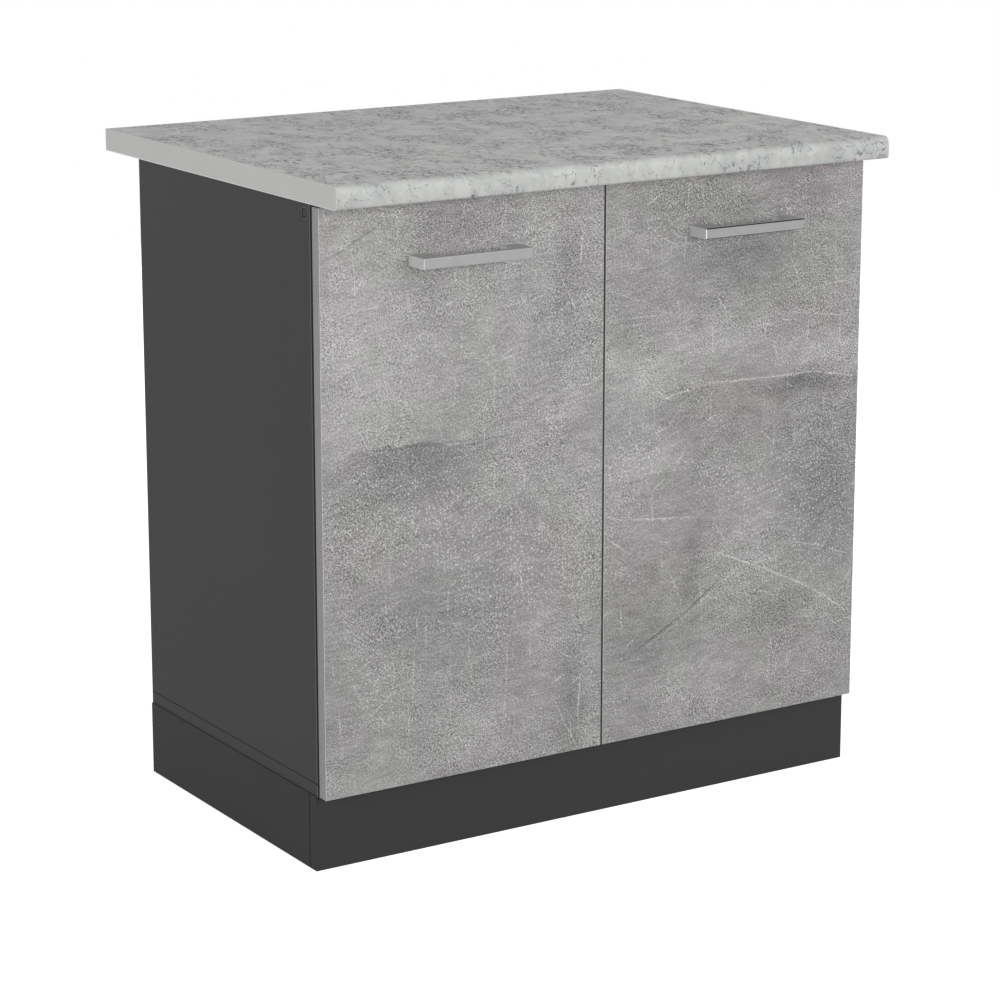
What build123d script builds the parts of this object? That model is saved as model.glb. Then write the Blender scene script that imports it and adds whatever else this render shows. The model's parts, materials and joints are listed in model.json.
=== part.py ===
"""Two-door base cabinet with a laid-on worktop.

Millimetres. +X is to the right seen from the front, +Y to the back, +Z up.
The origin is on the floor, under the middle of the worktop.
"""

import os
from math import pi, sqrt, tan

from build123d import *

os.makedirs("parts", exist_ok=True)

LEFT = (-1, 0, 0)
RIGHT = (1, 0, 0)
FRONT = (0, -1, 0)
BACK = (0, 1, 0)
UP = (0, 0, 1)

# Worktop
worktop_end_overhang = 1.5
worktop_depth = 600.0
worktop_thickness = 28.0
worktop_front_overhang = 64.5
nose_top_radius = 9.0
nose_bottom_radius = 4.0
end_strip_thickness = 0.8

# Carcass
carcass_width = 800.0
carcass_height = 720.0
carcass_depth = 443.5
board = 16.0
back_panel_thickness = 3.0
back_panel_inset = 10.0
groove_depth = 6.0
groove_play = 0.15
front_rail_depth = 26.0
front_rail_height = 25.0
rear_rail_height = 80.0

# Plinth
plinth_height = 95.0
plinth_board = 16.0
plinth_proud = 1.5
plinth_setback = 2.0
corner_block_side = 26.0
corner_block_height = 35.0
corner_block_fixing_inset = 17.0
corner_block_screw_inset = 8.0
corner_block_screw_low = 11.0
corner_block_screw_high = 24.0

# Shelf and the rows of system holes, which are counted in pitches up from the lowest hole
shelf_setback = 20.0
shelf_back_gap = 10.5
shelf_play = 1.0
system_front_row = 37.0
system_pitch = 32.0
system_row_pitches = 11
system_first_hole = 74.0
system_hole_radius = 2.5
system_hole_depth = 12.0
system_hole_mouth = 0.5
system_hole_mouth_taper = 45.0
system_hole_point = 0.8
system_hole_point_taper = 60.0
shelf_pitches = 9
shelf_choice_pitches = range(7, 12)
support_reach = 10.0
support_width = 12.0
support_height = 6.0
support_tip = 2.0

# Doors
door_thickness = 16.0
door_reveal = 1.5
door_middle_gap = 3.0
door_top_gap = 3.0
door_back_gap = 2.3
door_edge = 0.5
bumper_radius = 4.0
bumper_height = 2.1
bumper_inset = 13.0
bumper_edge = 0.5

# Handles
handle_length = 152.0
handle_height = 13.0
handle_projection = 35.0
handle_bar = 9.0
handle_leg = 25.0
handle_inner_radius = 14.0
handle_edge = 0.8
handle_hole_inset = 12.0
handle_drop = 71.5
handle_offset = 2.5
handle_screw_radius = 2.0
handle_screw_bite = 14.0
handle_screw_head_radius = 4.0
handle_screw_head = 2.4

# Hinges: a cup in the door, a pin, and an arm on a plate on the side panel
hinge_low_pitches = 0
hinge_high_pitches = 16
cup_radius = 17.5
cup_edge_distance = 3.0
cup_depth = 12.7
cup_wall = 0.8
cup_flange = 1.1
cup_flange_edge = 1.0
cup_screw_spacing = 48.0
cup_screw_offset = 6.0
cup_wing_width = 14.0
cup_wing_end = 7.0
cup_wing_corner = 5.0
pin_radius = 1.25
eye_radius = 2.05
eye_half_width = 4.4
eye_side_gap = 0.26
eye_floor_gap = 0.15
boss_gap = 0.5
boss_width = 2.1
arm_thickness = 2.0
arm_half_width = 8.0
arm_swing_gap = 1.0
arm_drop = 7.0
arm_step = 8.0
arm_bend = 1.5
arm_length = 58.0
channel_wall = 1.2
channel_gap = 0.5
plate_thickness = 2.5
plate_wing_height = 13.0
plate_wing_end = 7.0
plate_start = 18.0
plate_length = 42.0
plate_play = 0.3
arm_screw_radius = 2.0
arm_screw_bite = 8.0
arm_screw_head_radius = 3.4
arm_screw_head = 1.8
adjusting_screw_at = 25.0
fixing_screw_at = 49.0

# Fasteners, and the play round them and at their ends
fit = 0.05
end_play = 0.5
socket_share = 0.6
cap_radius = 8.3
cap_play = 0.2
cap_thickness = 2.0
cap_sunk = 0.5
cap_edge = 0.6
cap_below_top = 12.5
carcass_screw_radius = 2.5
carcass_screw_length = 46.0
carcass_screw_head_radius = 5.0
carcass_screw_head = 3.5
carcass_screw_inset = 60.0
dowel_radius = 4.0
dowel_length = 30.0
dowel_in_board = 12.0
dowel_inset = 110.0
rail_dowel_offset = 25.0
wood_screw_radius = 2.0
wood_screw_head_radius = 3.8
wood_screw_head = 2.0
wood_screw_bite = 10.0
worktop_screw_inset = 184.0
cup_screw_radius = 1.75
cup_screw_head_radius = 3.2
cup_screw_head = 0.8
cup_screw_bite = 11.0
system_screw_head_radius = 4.4
system_screw_head = 1.6
cam_radius = 7.4
cam_depth = 12.3
cam_inset = 24.0
cam_slot_width = 1.6
cam_slot_depth = 2.0
cam_bolt_radius = 2.9
cam_bolt_head_radius = 3.6
cam_bolt_head = 3.0
cam_bolt_bite = 10.0
bracket_leg = 25.0
bracket_width = 15.0
bracket_thickness = 2.0
bracket_screw_radius = 1.75
bracket_screw_length = 12.0
bracket_screw_head_radius = 3.2
bracket_screw_head = 1.5
nail_radius = 0.8
nail_head_radius = 2.0
nail_head = 0.6
nail_bite = 11.0
nail_inset = 64.0
nail_count = 5

# Heights, depths and widths that follow
worktop_end = carcass_width / 2 + worktop_end_overhang
worktop_core_end = worktop_end - end_strip_thickness
carcass_bottom = plinth_height
carcass_top = carcass_bottom + carcass_height
carcass_front = worktop_front_overhang - worktop_depth / 2
carcass_back = carcass_front + carcass_depth
side_outer = carcass_width / 2
side_inner = side_outer - board
side_middle = side_outer - board / 2
side_foot = carcass_bottom + board
back_panel_rear = carcass_back - back_panel_inset
back_panel_front = back_panel_rear - back_panel_thickness
front_rail_back = carcass_front + front_rail_depth
front_rail_bottom = carcass_top - front_rail_height
rear_rail_front = back_panel_front - board
rear_rail_centre = back_panel_front - board / 2
rear_rail_bottom = carcass_top - rear_rail_height
rear_rail_middle = carcass_top - rear_rail_height / 2
cap_y = carcass_front + front_rail_depth / 2
cap_z = carcass_top - cap_below_top
row_front = carcass_front + system_front_row
row_back = row_front + system_row_pitches * system_pitch
plinth_outer = side_outer + plinth_proud
plinth_inner = plinth_outer - plinth_board
plinth_front_face = carcass_front + plinth_setback
plinth_front_back = plinth_front_face + plinth_board
plinth_rear_front = carcass_back - plinth_board
corner_block_bottom = plinth_height - corner_block_height
door_back = carcass_front - door_back_gap
door_front = door_back - door_thickness
door_outer = side_outer - door_reveal
door_inner = door_middle_gap / 2
door_top = carcass_top - door_top_gap
handle_x = -(door_outer + door_inner) / 2 - handle_offset
handle_z = door_top - handle_drop
handle_hole = handle_length / 2 - handle_hole_inset
worktop_screw_length = front_rail_height + wood_screw_bite
nail_length = back_panel_thickness + nail_bite


def system_height(pitches):
    """Height of the system hole that is some pitches up from the lowest one."""
    return carcass_bottom + system_first_hole + pitches * system_pitch


shelf_bottom = system_height(shelf_pitches) + support_height / 2
shelf_front = carcass_front + shelf_setback
shelf_back = back_panel_front - shelf_back_gap

# Hinge geometry, as distances across from the side panel's outer face and out from its front edge
hinge_heights = [
    system_height(hinge_low_pitches) + system_pitch / 2,
    system_height(hinge_high_pitches) + system_pitch / 2,
]
cup_inner_radius = cup_radius - cup_wall
cup_across = door_reveal + cup_edge_distance + cup_radius
wall_across = cup_across - sqrt(cup_inner_radius**2 - eye_half_width**2)
pin_across = wall_across + eye_side_gap + eye_radius
pin_out = door_back_gap + cup_depth - cup_wall - eye_floor_gap - eye_radius
flange_out = door_back_gap - cup_flange
arm_across = pin_across + pin_out - flange_out + arm_swing_gap
web_across = arm_across + arm_step
boss_start = eye_half_width + boss_gap
pin_half_length = boss_start + boss_width


def hinge_point(across, out):
    """Plan position of a point of the left hinge."""
    return (across - side_outer, carcass_front - out)


def facing(x, y, z, direction):
    """Plane at a point, with its normal along a direction."""
    return Plane(origin=(x, y, z), z_dir=direction)


def inward(side):
    """Direction from a side panel towards the middle, for side -1 on the left or 1 on the right."""
    return (-side, 0, 0)


def block(x_range, y_range, z_range, mode=Mode.ADD):
    """Rectangular block between two corners."""
    with BuildSketch(Plane.XY.offset(z_range[0])) as foot:
        with Locations((sum(x_range) / 2, sum(y_range) / 2)):
            Rectangle(x_range[1] - x_range[0], y_range[1] - y_range[0])
    extrude(foot.sketch, amount=z_range[1] - z_range[0], mode=mode)


def rod(plane, radius, length, mode=Mode.ADD):
    """Round rod that starts on a plane and runs along its normal."""
    with BuildSketch(plane) as end:
        Circle(radius)
    extrude(end.sketch, amount=length, mode=mode)


def drill(plane, radius, depth):
    """Round hole that starts on a plane and runs along its normal."""
    rod(plane, radius, depth, mode=Mode.SUBTRACT)


def screw(plane, radius, length, head_radius, head_height):
    """Screw with its head before a plane and its shank behind it, and a hexagonal socket."""
    rod(plane.offset(-head_height), head_radius, head_height)
    rod(plane, radius, length)
    with BuildSketch(plane.offset(-head_height)) as socket:
        RegularPolygon(radius * socket_share, 6)
    extrude(socket.sketch, amount=head_height * socket_share, mode=Mode.SUBTRACT)


def sunk_hole(plane, radius, length, head_radius, head_height):
    """Hole for a screw on the same plane, with its head sunk flush."""
    drill(plane.offset(-head_height), head_radius + fit, head_height)
    drill(plane, radius + fit, length + end_play)


def system_hole(row, height):
    """Blind hole in the left side panel, with an eased mouth and the mark of the drill's point."""
    mouth = facing(-side_inner, row, height, LEFT)
    drill(mouth, system_hole_radius, system_hole_depth)
    with BuildSketch(mouth) as rim:
        Circle(system_hole_radius + system_hole_mouth)
    extrude(rim.sketch, amount=system_hole_mouth, taper=system_hole_mouth_taper, mode=Mode.SUBTRACT)
    with BuildSketch(mouth.offset(system_hole_depth)) as floor:
        Circle(system_hole_radius)
    extrude(floor.sketch, amount=system_hole_point, taper=system_hole_point_taper, mode=Mode.SUBTRACT)


def finish(piece, name):
    """Labels a piece and writes it."""
    piece.part.label = name
    export_step(piece.part, f"parts/{name}.step")


def finish_pair(piece, name):
    """Writes a left piece, and its mirror image on the right."""
    finish(piece, f"{name}_left")
    with BuildPart() as twin:
        mirror(piece.part, about=Plane.YZ)
    finish(twin, f"{name}_right")


# Places that a hole and its fastener share. Each plane looks the way the fastener is driven.
def bottom_screws(side):
    """Seats of the heads of the screws up through the bottom panel into a side panel."""
    seat = carcass_bottom + carcass_screw_head
    rows = (carcass_front + carcass_screw_inset, carcass_back - carcass_screw_inset)
    return [facing(side * side_middle, row, seat, UP) for row in rows]


def bottom_dowels(side):
    """Lower ends of the dowels between the bottom panel and a side panel."""
    rows = (carcass_front + dowel_inset, carcass_back - dowel_inset)
    return [facing(side * side_middle, row, side_foot - dowel_in_board, UP) for row in rows]


def rail_dowels(side):
    """Outer ends of the dowels between a side panel and the rear rail."""
    x = side * (side_inner + dowel_in_board)
    heights = (rear_rail_middle - rail_dowel_offset, rear_rail_middle + rail_dowel_offset)
    return [facing(x, rear_rail_centre, height, inward(side)) for height in heights]


def rail_screw(side):
    """Seat of the head of the capped screw through a side panel into the front rail."""
    x = side * (side_outer - cap_sunk - cap_thickness - carcass_screw_head)
    return facing(x, cap_y, cap_z, inward(side))


def cam_bolt(side):
    """Outer end of the bolt in a side panel that the rear rail's cam draws in."""
    return facing(side * (side_inner + cam_bolt_bite), rear_rail_centre, rear_rail_middle, inward(side))


def cam(side):
    """Face of a cam on the front of the rear rail."""
    return facing(side * (side_inner - cam_inset), rear_rail_front, rear_rail_middle, BACK)


def worktop_screws():
    """Seats of the heads of the screws up through the front rail."""
    seat = front_rail_bottom + wood_screw_head
    across = side_inner - worktop_screw_inset
    return [facing(x, cap_y, seat, UP) for x in (-across, across)]


def bracket_screws(direction):
    """Seats of the bracket screws that are driven up into the worktop or back into the rear rail."""
    across = side_inner - worktop_screw_inset
    middle = (bracket_leg + bracket_thickness) / 2
    y, z = rear_rail_front - bracket_thickness, carcass_top - middle
    if direction == UP:
        y, z = rear_rail_front - middle, carcass_top - bracket_thickness
    return [facing(x, y, z, direction) for x in (-across, across)]


def back_nails():
    """Seats of the heads of the nails through the back panel into the rear rail."""
    span = side_inner - nail_inset
    step = 2 * span / (nail_count - 1)
    return [facing(i * step - span, back_panel_rear, rear_rail_middle, FRONT) for i in range(nail_count)]


def corner_y(end, inset):
    """Distance back of a corner block's face, at the front for end -1 or at the rear for end 1."""
    if end < 0:
        return plinth_front_back + inset
    return plinth_rear_front - inset


def corner_fixing(side, end):
    """Seat of the head of the screw up through a corner block into the bottom panel."""
    x = side * (plinth_inner - corner_block_fixing_inset)
    return facing(x, corner_y(end, corner_block_fixing_inset), corner_block_bottom, UP)


def corner_board_screw(side, end):
    """Seat of the head of the screw from a corner block into the front or rear plinth board."""
    x = side * (plinth_inner - corner_block_screw_inset)
    height = corner_block_bottom + corner_block_screw_low
    return facing(x, corner_y(end, corner_block_side), height, (0, end, 0))


def corner_side_screw(side, end):
    """Seat of the head of the screw from a corner block into a plinth side board."""
    x = side * (plinth_inner - corner_block_side)
    height = corner_block_bottom + corner_block_screw_high
    return facing(x, corner_y(end, corner_block_screw_inset), height, (side, 0, 0))


corner_block_screw_length = corner_block_side + wood_screw_bite
corner_fixing_length = corner_block_height + wood_screw_bite


def wood_screw(plane, length):
    """Wood screw with its head on a plane."""
    screw(plane, wood_screw_radius, length, wood_screw_head_radius, wood_screw_head)


# Worktop core with a rounded front edge, and the thin strips on its two ends
def worktop_slice(x_low, x_high):
    """Length of worktop with a rounded front edge."""
    front = -worktop_depth / 2
    top = carcass_top + worktop_thickness
    with BuildSketch(Plane.YZ.offset(x_low)) as section:
        with BuildLine():
            Polyline((front, carcass_top), (front, top), (-front, top), (-front, carcass_top), close=True)
        make_face()
        fillet(section.vertices().group_by(Axis.X)[0].sort_by(Axis.Y)[-1], radius=nose_top_radius)
        fillet(section.vertices().group_by(Axis.X)[0].sort_by(Axis.Y)[0], radius=nose_bottom_radius)
    extrude(section.sketch, amount=x_high - x_low)


with BuildPart() as worktop:
    worktop_slice(-worktop_core_end, worktop_core_end)
    for plane in worktop_screws():
        drill(plane, wood_screw_radius + fit, worktop_screw_length + end_play)
    for plane in bracket_screws(UP):
        drill(plane, bracket_screw_radius + fit, bracket_screw_length + end_play)
finish(worktop, "worktop")

with BuildPart() as worktop_end_strip:
    worktop_slice(-worktop_end, -worktop_core_end)
finish_pair(worktop_end_strip, "worktop_end_strip")

# Side panels, which stand on the bottom panel
groove = (back_panel_front, back_panel_rear + groove_play)

with BuildPart() as side_panel:
    block((-side_outer, -side_inner), (carcass_front, carcass_back), (side_foot, carcass_top))
    block((-side_inner - groove_depth, -side_inner), groove, (side_foot, carcass_top), mode=Mode.SUBTRACT)
    for height in hinge_heights:
        for offset in (-system_pitch / 2, system_pitch / 2):
            system_hole(row_front, height + offset)
    for row in (row_front, row_back):
        for pitches in shelf_choice_pitches:
            system_hole(row, system_height(pitches))
    for plane in bottom_screws(-1):
        drill(plane, carcass_screw_radius + fit, carcass_screw_length + end_play)
    for plane in bottom_dowels(-1) + rail_dowels(-1):
        drill(plane.offset(-end_play), dowel_radius + fit, dowel_length + 2 * end_play)
    drill(cam_bolt(-1).offset(-end_play), cam_bolt_radius + fit, board)
    drill(facing(-side_outer, cap_y, cap_z, RIGHT), cap_radius + cap_play, cap_sunk + cap_thickness)
    sunk_hole(rail_screw(-1), carcass_screw_radius, board, carcass_screw_head_radius, carcass_screw_head)
finish_pair(side_panel, "side_panel")

# Bottom panel, full width
with BuildPart() as bottom_panel:
    block((-side_outer, side_outer), (carcass_front, carcass_back), (carcass_bottom, side_foot))
    groove_end = side_inner + groove_depth
    block((-groove_end, groove_end), groove, (side_foot - groove_depth, side_foot), mode=Mode.SUBTRACT)
    for side in (-1, 1):
        for plane in bottom_screws(side):
            sunk_hole(plane, carcass_screw_radius, board, carcass_screw_head_radius, carcass_screw_head)
        for plane in bottom_dowels(side):
            drill(plane.offset(-end_play), dowel_radius + fit, dowel_length + 2 * end_play)
        for end in (-1, 1):
            drill(corner_fixing(side, end), wood_screw_radius + fit, corner_fixing_length + end_play)
finish(bottom_panel, "bottom_panel")

with BuildPart() as bottom_screw_set:
    for side in (-1, 1):
        for plane in bottom_screws(side):
            screw(
                plane,
                carcass_screw_radius,
                carcass_screw_length,
                carcass_screw_head_radius,
                carcass_screw_head,
            )
finish(bottom_screw_set, "bottom_screws")

with BuildPart() as carcass_dowels:
    for side in (-1, 1):
        for plane in bottom_dowels(side) + rail_dowels(side):
            rod(plane, dowel_radius, dowel_length)
finish(carcass_dowels, "carcass_dowels")

# Front rail, a batten under the worktop with a capped screw through each side panel
with BuildPart() as front_rail:
    block((-side_inner, side_inner), (carcass_front, front_rail_back), (front_rail_bottom, carcass_top))
    for side in (-1, 1):
        drill(rail_screw(side), carcass_screw_radius + fit, carcass_screw_length + end_play)
    for plane in worktop_screws():
        sunk_hole(plane, wood_screw_radius, worktop_screw_length, wood_screw_head_radius, wood_screw_head)
finish(front_rail, "front_rail")

with BuildPart() as front_rail_screws:
    for side in (-1, 1):
        screw(
            rail_screw(side),
            carcass_screw_radius,
            carcass_screw_length,
            carcass_screw_head_radius,
            carcass_screw_head,
        )
finish(front_rail_screws, "front_rail_screws")

with BuildPart() as screw_cap:
    rod(facing(-side_outer + cap_sunk, cap_y, cap_z, RIGHT), cap_radius, cap_thickness)
    chamfer(screw_cap.edges().filter_by(GeomType.CIRCLE).sort_by(Axis.X)[0], length=cap_edge)
finish_pair(screw_cap, "screw_cap")

with BuildPart() as worktop_screw_set:
    for plane in worktop_screws():
        screw(plane, wood_screw_radius, worktop_screw_length, wood_screw_head_radius, wood_screw_head)
finish(worktop_screw_set, "worktop_screws")

# Rear rail, with dowels and a cam at each end
with BuildPart() as rear_rail:
    block((-side_inner, side_inner), (rear_rail_front, back_panel_front), (rear_rail_bottom, carcass_top))
    for side in (-1, 1):
        for plane in rail_dowels(side):
            drill(plane.offset(-end_play), dowel_radius + fit, dowel_length + 2 * end_play)
        drill(cam(side), cam_radius + fit, cam_depth + fit)
        drill(cam_bolt(side), cam_bolt_radius + fit, cam_bolt_bite + cam_inset)
    for plane in bracket_screws(BACK):
        drill(plane, bracket_screw_radius + fit, bracket_screw_length + end_play)
    for plane in back_nails():
        drill(plane, nail_radius + fit, nail_length + end_play)
finish(rear_rail, "rear_rail")

with BuildPart() as cam_locks:
    for side in (-1, 1):
        rod(cam(side), cam_radius, cam_depth)
        pocket_end = side_inner - cam_inset - end_play
        pocket_half = cam_bolt_head_radius + fit
        block(
            sorted((side * side_inner, side * pocket_end)),
            (rear_rail_centre - pocket_half, rear_rail_centre + pocket_half),
            (rear_rail_middle - pocket_half, rear_rail_middle + pocket_half),
            mode=Mode.SUBTRACT,
        )
        slot_x = side * (side_inner - cam_inset)
        slot_reach = cam_radius * socket_share
        block(
            (slot_x - cam_slot_width / 2, slot_x + cam_slot_width / 2),
            (rear_rail_front, rear_rail_front + cam_slot_depth),
            (rear_rail_middle - slot_reach, rear_rail_middle + slot_reach),
            mode=Mode.SUBTRACT,
        )
finish(cam_locks, "cam_locks")

with BuildPart() as cam_bolts:
    shank = cam_bolt_bite + cam_inset - cam_bolt_head
    for side in (-1, 1):
        rod(cam_bolt(side), cam_bolt_radius, shank)
        rod(cam_bolt(side).offset(shank), cam_bolt_head_radius, cam_bolt_head)
finish(cam_bolts, "cam_bolts")

# Back panel, let into the side panels and the bottom panel and nailed to the rear rail
with BuildPart() as back_panel:
    groove_reach = side_inner + groove_depth - groove_play
    block(
        (-groove_reach, groove_reach),
        (back_panel_front, back_panel_rear),
        (side_foot - groove_depth + groove_play, carcass_top),
    )
    for plane in back_nails():
        drill(plane, nail_radius + fit, back_panel_thickness)
finish(back_panel, "back_panel")

with BuildPart() as back_panel_nails:
    for plane in back_nails():
        rod(plane.offset(-nail_head), nail_head_radius, nail_head)
        rod(plane, nail_radius, nail_length)
finish(back_panel_nails, "back_panel_nails")

# Brackets between the rear rail and the worktop
with BuildPart() as worktop_brackets:
    top_leg = (rear_rail_front - bracket_leg, rear_rail_front)
    top_plate = (carcass_top - bracket_thickness, carcass_top)
    rail_leg = (carcass_top - bracket_leg, carcass_top)
    rail_plate = (rear_rail_front - bracket_thickness, rear_rail_front)
    for plane in bracket_screws(UP):
        x = plane.origin.X
        width = (x - bracket_width / 2, x + bracket_width / 2)
        block(width, top_leg, top_plate)
        block(width, rail_plate, rail_leg)
    for plane in bracket_screws(UP) + bracket_screws(BACK):
        drill(plane, bracket_screw_radius + fit, bracket_thickness)
finish(worktop_brackets, "worktop_brackets")

with BuildPart() as bracket_screw_set:
    for plane in bracket_screws(UP) + bracket_screws(BACK):
        screw(
            plane,
            bracket_screw_radius,
            bracket_screw_length,
            bracket_screw_head_radius,
            bracket_screw_head,
        )
finish(bracket_screw_set, "bracket_screws")

# Plinth, a frame of four boards held by corner blocks under the bottom panel
with BuildPart() as plinth_front:
    block((-plinth_outer, plinth_outer), (plinth_front_face, plinth_front_back), (0, plinth_height))
    for side in (-1, 1):
        drill(corner_board_screw(side, -1), wood_screw_radius + fit, corner_block_screw_length + end_play)
finish(plinth_front, "plinth_front")

with BuildPart() as plinth_rear:
    block((-plinth_inner, plinth_inner), (plinth_rear_front, carcass_back), (0, plinth_height))
    for side in (-1, 1):
        drill(corner_board_screw(side, 1), wood_screw_radius + fit, corner_block_screw_length + end_play)
finish(plinth_rear, "plinth_rear")

with BuildPart() as plinth_side:
    block((-plinth_outer, -plinth_inner), (plinth_front_back, carcass_back), (0, plinth_height))
    for end in (-1, 1):
        drill(corner_side_screw(-1, end), wood_screw_radius + fit, corner_block_screw_length + end_play)
finish_pair(plinth_side, "plinth_side")

with BuildPart() as plinth_corner_blocks:
    for side in (-1, 1):
        for end in (-1, 1):
            block(
                sorted((side * plinth_inner, side * (plinth_inner - corner_block_side))),
                sorted((corner_y(end, 0), corner_y(end, corner_block_side))),
                (corner_block_bottom, plinth_height),
            )
            for place in (corner_fixing, corner_board_screw, corner_side_screw):
                drill(place(side, end), wood_screw_radius + fit, corner_block_screw_length)
finish(plinth_corner_blocks, "plinth_corner_blocks")

with BuildPart() as plinth_block_screws:
    for side in (-1, 1):
        for end in (-1, 1):
            for place in (corner_board_screw, corner_side_screw):
                wood_screw(place(side, end), corner_block_screw_length)
finish(plinth_block_screws, "plinth_block_screws")

with BuildPart() as plinth_fixing_screws:
    for side in (-1, 1):
        for end in (-1, 1):
            wood_screw(corner_fixing(side, end), corner_fixing_length)
finish(plinth_fixing_screws, "plinth_fixing_screws")

# Shelf on four supports
with BuildPart() as shelf:
    shelf_end = side_inner - shelf_play
    block((-shelf_end, shelf_end), (shelf_front, shelf_back), (shelf_bottom, shelf_bottom + board))
finish(shelf, "shelf")

with BuildPart() as shelf_supports:
    for side in (-1, 1):
        for row in (row_front, row_back):
            rod(
                facing(side * side_inner, row, system_height(shelf_pitches), (side, 0, 0)),
                system_hole_radius - fit,
                system_hole_depth - end_play,
            )
            with BuildSketch(Plane.XZ.offset(-row - support_width / 2)) as seat:
                with BuildLine():
                    Polyline(
                        (side * side_inner, shelf_bottom),
                        (side * (side_inner - support_reach), shelf_bottom),
                        (side * (side_inner - support_reach), shelf_bottom - support_tip),
                        (side * side_inner, shelf_bottom - support_height),
                        close=True,
                    )
                make_face()
            extrude(seat.sketch, amount=support_width)
finish(shelf_supports, "shelf_supports")


# Doors
def cup_plane(height):
    """Back face of the left door at the middle of a hinge cup."""
    x, y = hinge_point(cup_across, door_back_gap)
    return facing(x, y, height, FRONT)


def cup_screw_planes(height):
    """Seats of the heads of a cup's two screws."""
    x, y = hinge_point(cup_across + cup_screw_offset, flange_out)
    half = cup_screw_spacing / 2
    return [facing(x, y, height + offset, FRONT) for offset in (-half, half)]


def handle_screw_planes():
    """Seats of the heads of the left handle's screws, on the door's back."""
    offsets = (-handle_hole, handle_hole)
    return [facing(handle_x + offset, door_back, handle_z, FRONT) for offset in offsets]


with BuildPart() as door:
    block((-door_outer, -door_inner), (door_front, door_back), (carcass_bottom, door_top))
    chamfer(door.faces().sort_by(Axis.Y)[0].edges(), length=door_edge)
    for height in hinge_heights:
        drill(cup_plane(height), cup_radius + fit, cup_depth + fit)
        for plane in cup_screw_planes(height):
            drill(plane, cup_screw_radius + fit, cup_flange + cup_screw_bite + end_play)
    for plane in handle_screw_planes():
        drill(plane, handle_screw_radius + fit, door_thickness)
finish_pair(door, "door")

with BuildPart() as door_bumpers:
    for height in (carcass_bottom + board / 2, carcass_top - front_rail_height / 2):
        rod(facing(-door_inner - bumper_inset, door_back, height, BACK), bumper_radius, bumper_height)
    tips = door_bumpers.edges().filter_by(GeomType.CIRCLE).group_by(Axis.Y)[-1]
    chamfer(tips, length=bumper_edge)
finish_pair(door_bumpers, "door_bumpers")

# Handles: a bar on two wide legs, cut from one piece
with BuildPart() as handle:
    with BuildSketch(Plane.XY.offset(handle_z - handle_height / 2)) as outline:
        with Locations((handle_x, door_front - handle_projection / 2)):
            Rectangle(handle_length, handle_projection)
    extrude(outline.sketch, amount=handle_height)
    chamfer(handle.faces().sort_by(Axis.Y)[0].edges(), length=handle_edge)
    with BuildSketch(Plane.XY.offset(handle_z - handle_height / 2)) as opening:
        with Locations((handle_x, door_front - (handle_projection - handle_bar) / 2)):
            Rectangle(handle_length - 2 * handle_leg, handle_projection - handle_bar)
        fillet(opening.vertices().group_by(Axis.Y)[0], radius=handle_inner_radius)
    extrude(opening.sketch, amount=handle_height, mode=Mode.SUBTRACT)
    for plane in handle_screw_planes():
        drill(plane, handle_screw_radius + fit, door_thickness + handle_screw_bite + end_play)
finish_pair(handle, "handle")

with BuildPart() as handle_screws:
    for plane in handle_screw_planes():
        screw(
            plane,
            handle_screw_radius,
            door_thickness + handle_screw_bite,
            handle_screw_head_radius,
            handle_screw_head,
        )
finish_pair(handle_screws, "handle_screws")


# Hinge cups, each with two bosses that hold the pin
def pin_stack(height, low, high, radius, mode=Mode.ADD):
    """Round piece on the pin's axis between two heights above the middle of a hinge."""
    with BuildSketch(Plane.XY.offset(height + low)) as ring:
        with Locations(hinge_point(pin_across, pin_out)):
            Circle(radius)
    extrude(ring.sketch, amount=high - low, mode=mode)


cup_floor = door_back_gap + cup_depth

with BuildPart() as pin_bosses:
    for height in hinge_heights:
        boss_x, boss_y = hinge_point(pin_across + eye_radius, cup_floor)
        for low in (-pin_half_length, boss_start):
            block(
                (hinge_point(cup_across - cup_radius, 0)[0], boss_x),
                (boss_y, hinge_point(0, pin_out - eye_radius)[1]),
                (height + low, height + low + boss_width),
            )
    with BuildSketch(Plane.XZ.offset(-door_back)) as cup_outlines:
        with Locations([(hinge_point(cup_across, 0)[0], height) for height in hinge_heights]):
            Circle(cup_radius)
    extrude(cup_outlines.sketch, amount=cup_depth, mode=Mode.INTERSECT)

with BuildPart() as hinge_cups:
    for height in hinge_heights:
        cup_x, rim_y = hinge_point(cup_across, flange_out)
        with BuildSketch(Plane.XZ.offset(-rim_y)) as flange:
            with Locations((cup_x, height)):
                Circle(cup_radius + cup_flange_edge)
            with Locations((cup_x + cup_screw_offset, height)):
                RectangleRounded(cup_wing_width, cup_screw_spacing + 2 * cup_wing_end, cup_wing_corner)
        extrude(flange.sketch, amount=cup_flange)
        rod(cup_plane(height), cup_radius, cup_depth)
        drill(facing(cup_x, rim_y, height, FRONT), cup_inner_radius, cup_flange + cup_depth - cup_wall)
        for plane in cup_screw_planes(height):
            drill(plane, cup_screw_radius + fit, cup_flange)
    add(pin_bosses.part)
    for height in hinge_heights:
        pin_stack(height, -pin_half_length, pin_half_length, pin_radius + fit, mode=Mode.SUBTRACT)
finish_pair(hinge_cups, "hinge_cups")

with BuildPart() as hinge_pins:
    for height in hinge_heights:
        pin_stack(height, -pin_half_length, pin_half_length, pin_radius)
finish_pair(hinge_pins, "hinge_pins")

with BuildPart() as cup_screws:
    for height in hinge_heights:
        for plane in cup_screw_planes(height):
            screw(
                plane,
                cup_screw_radius,
                cup_flange + cup_screw_bite,
                cup_screw_head_radius,
                cup_screw_head,
            )
finish_pair(cup_screws, "hinge_cup_screws")


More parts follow.
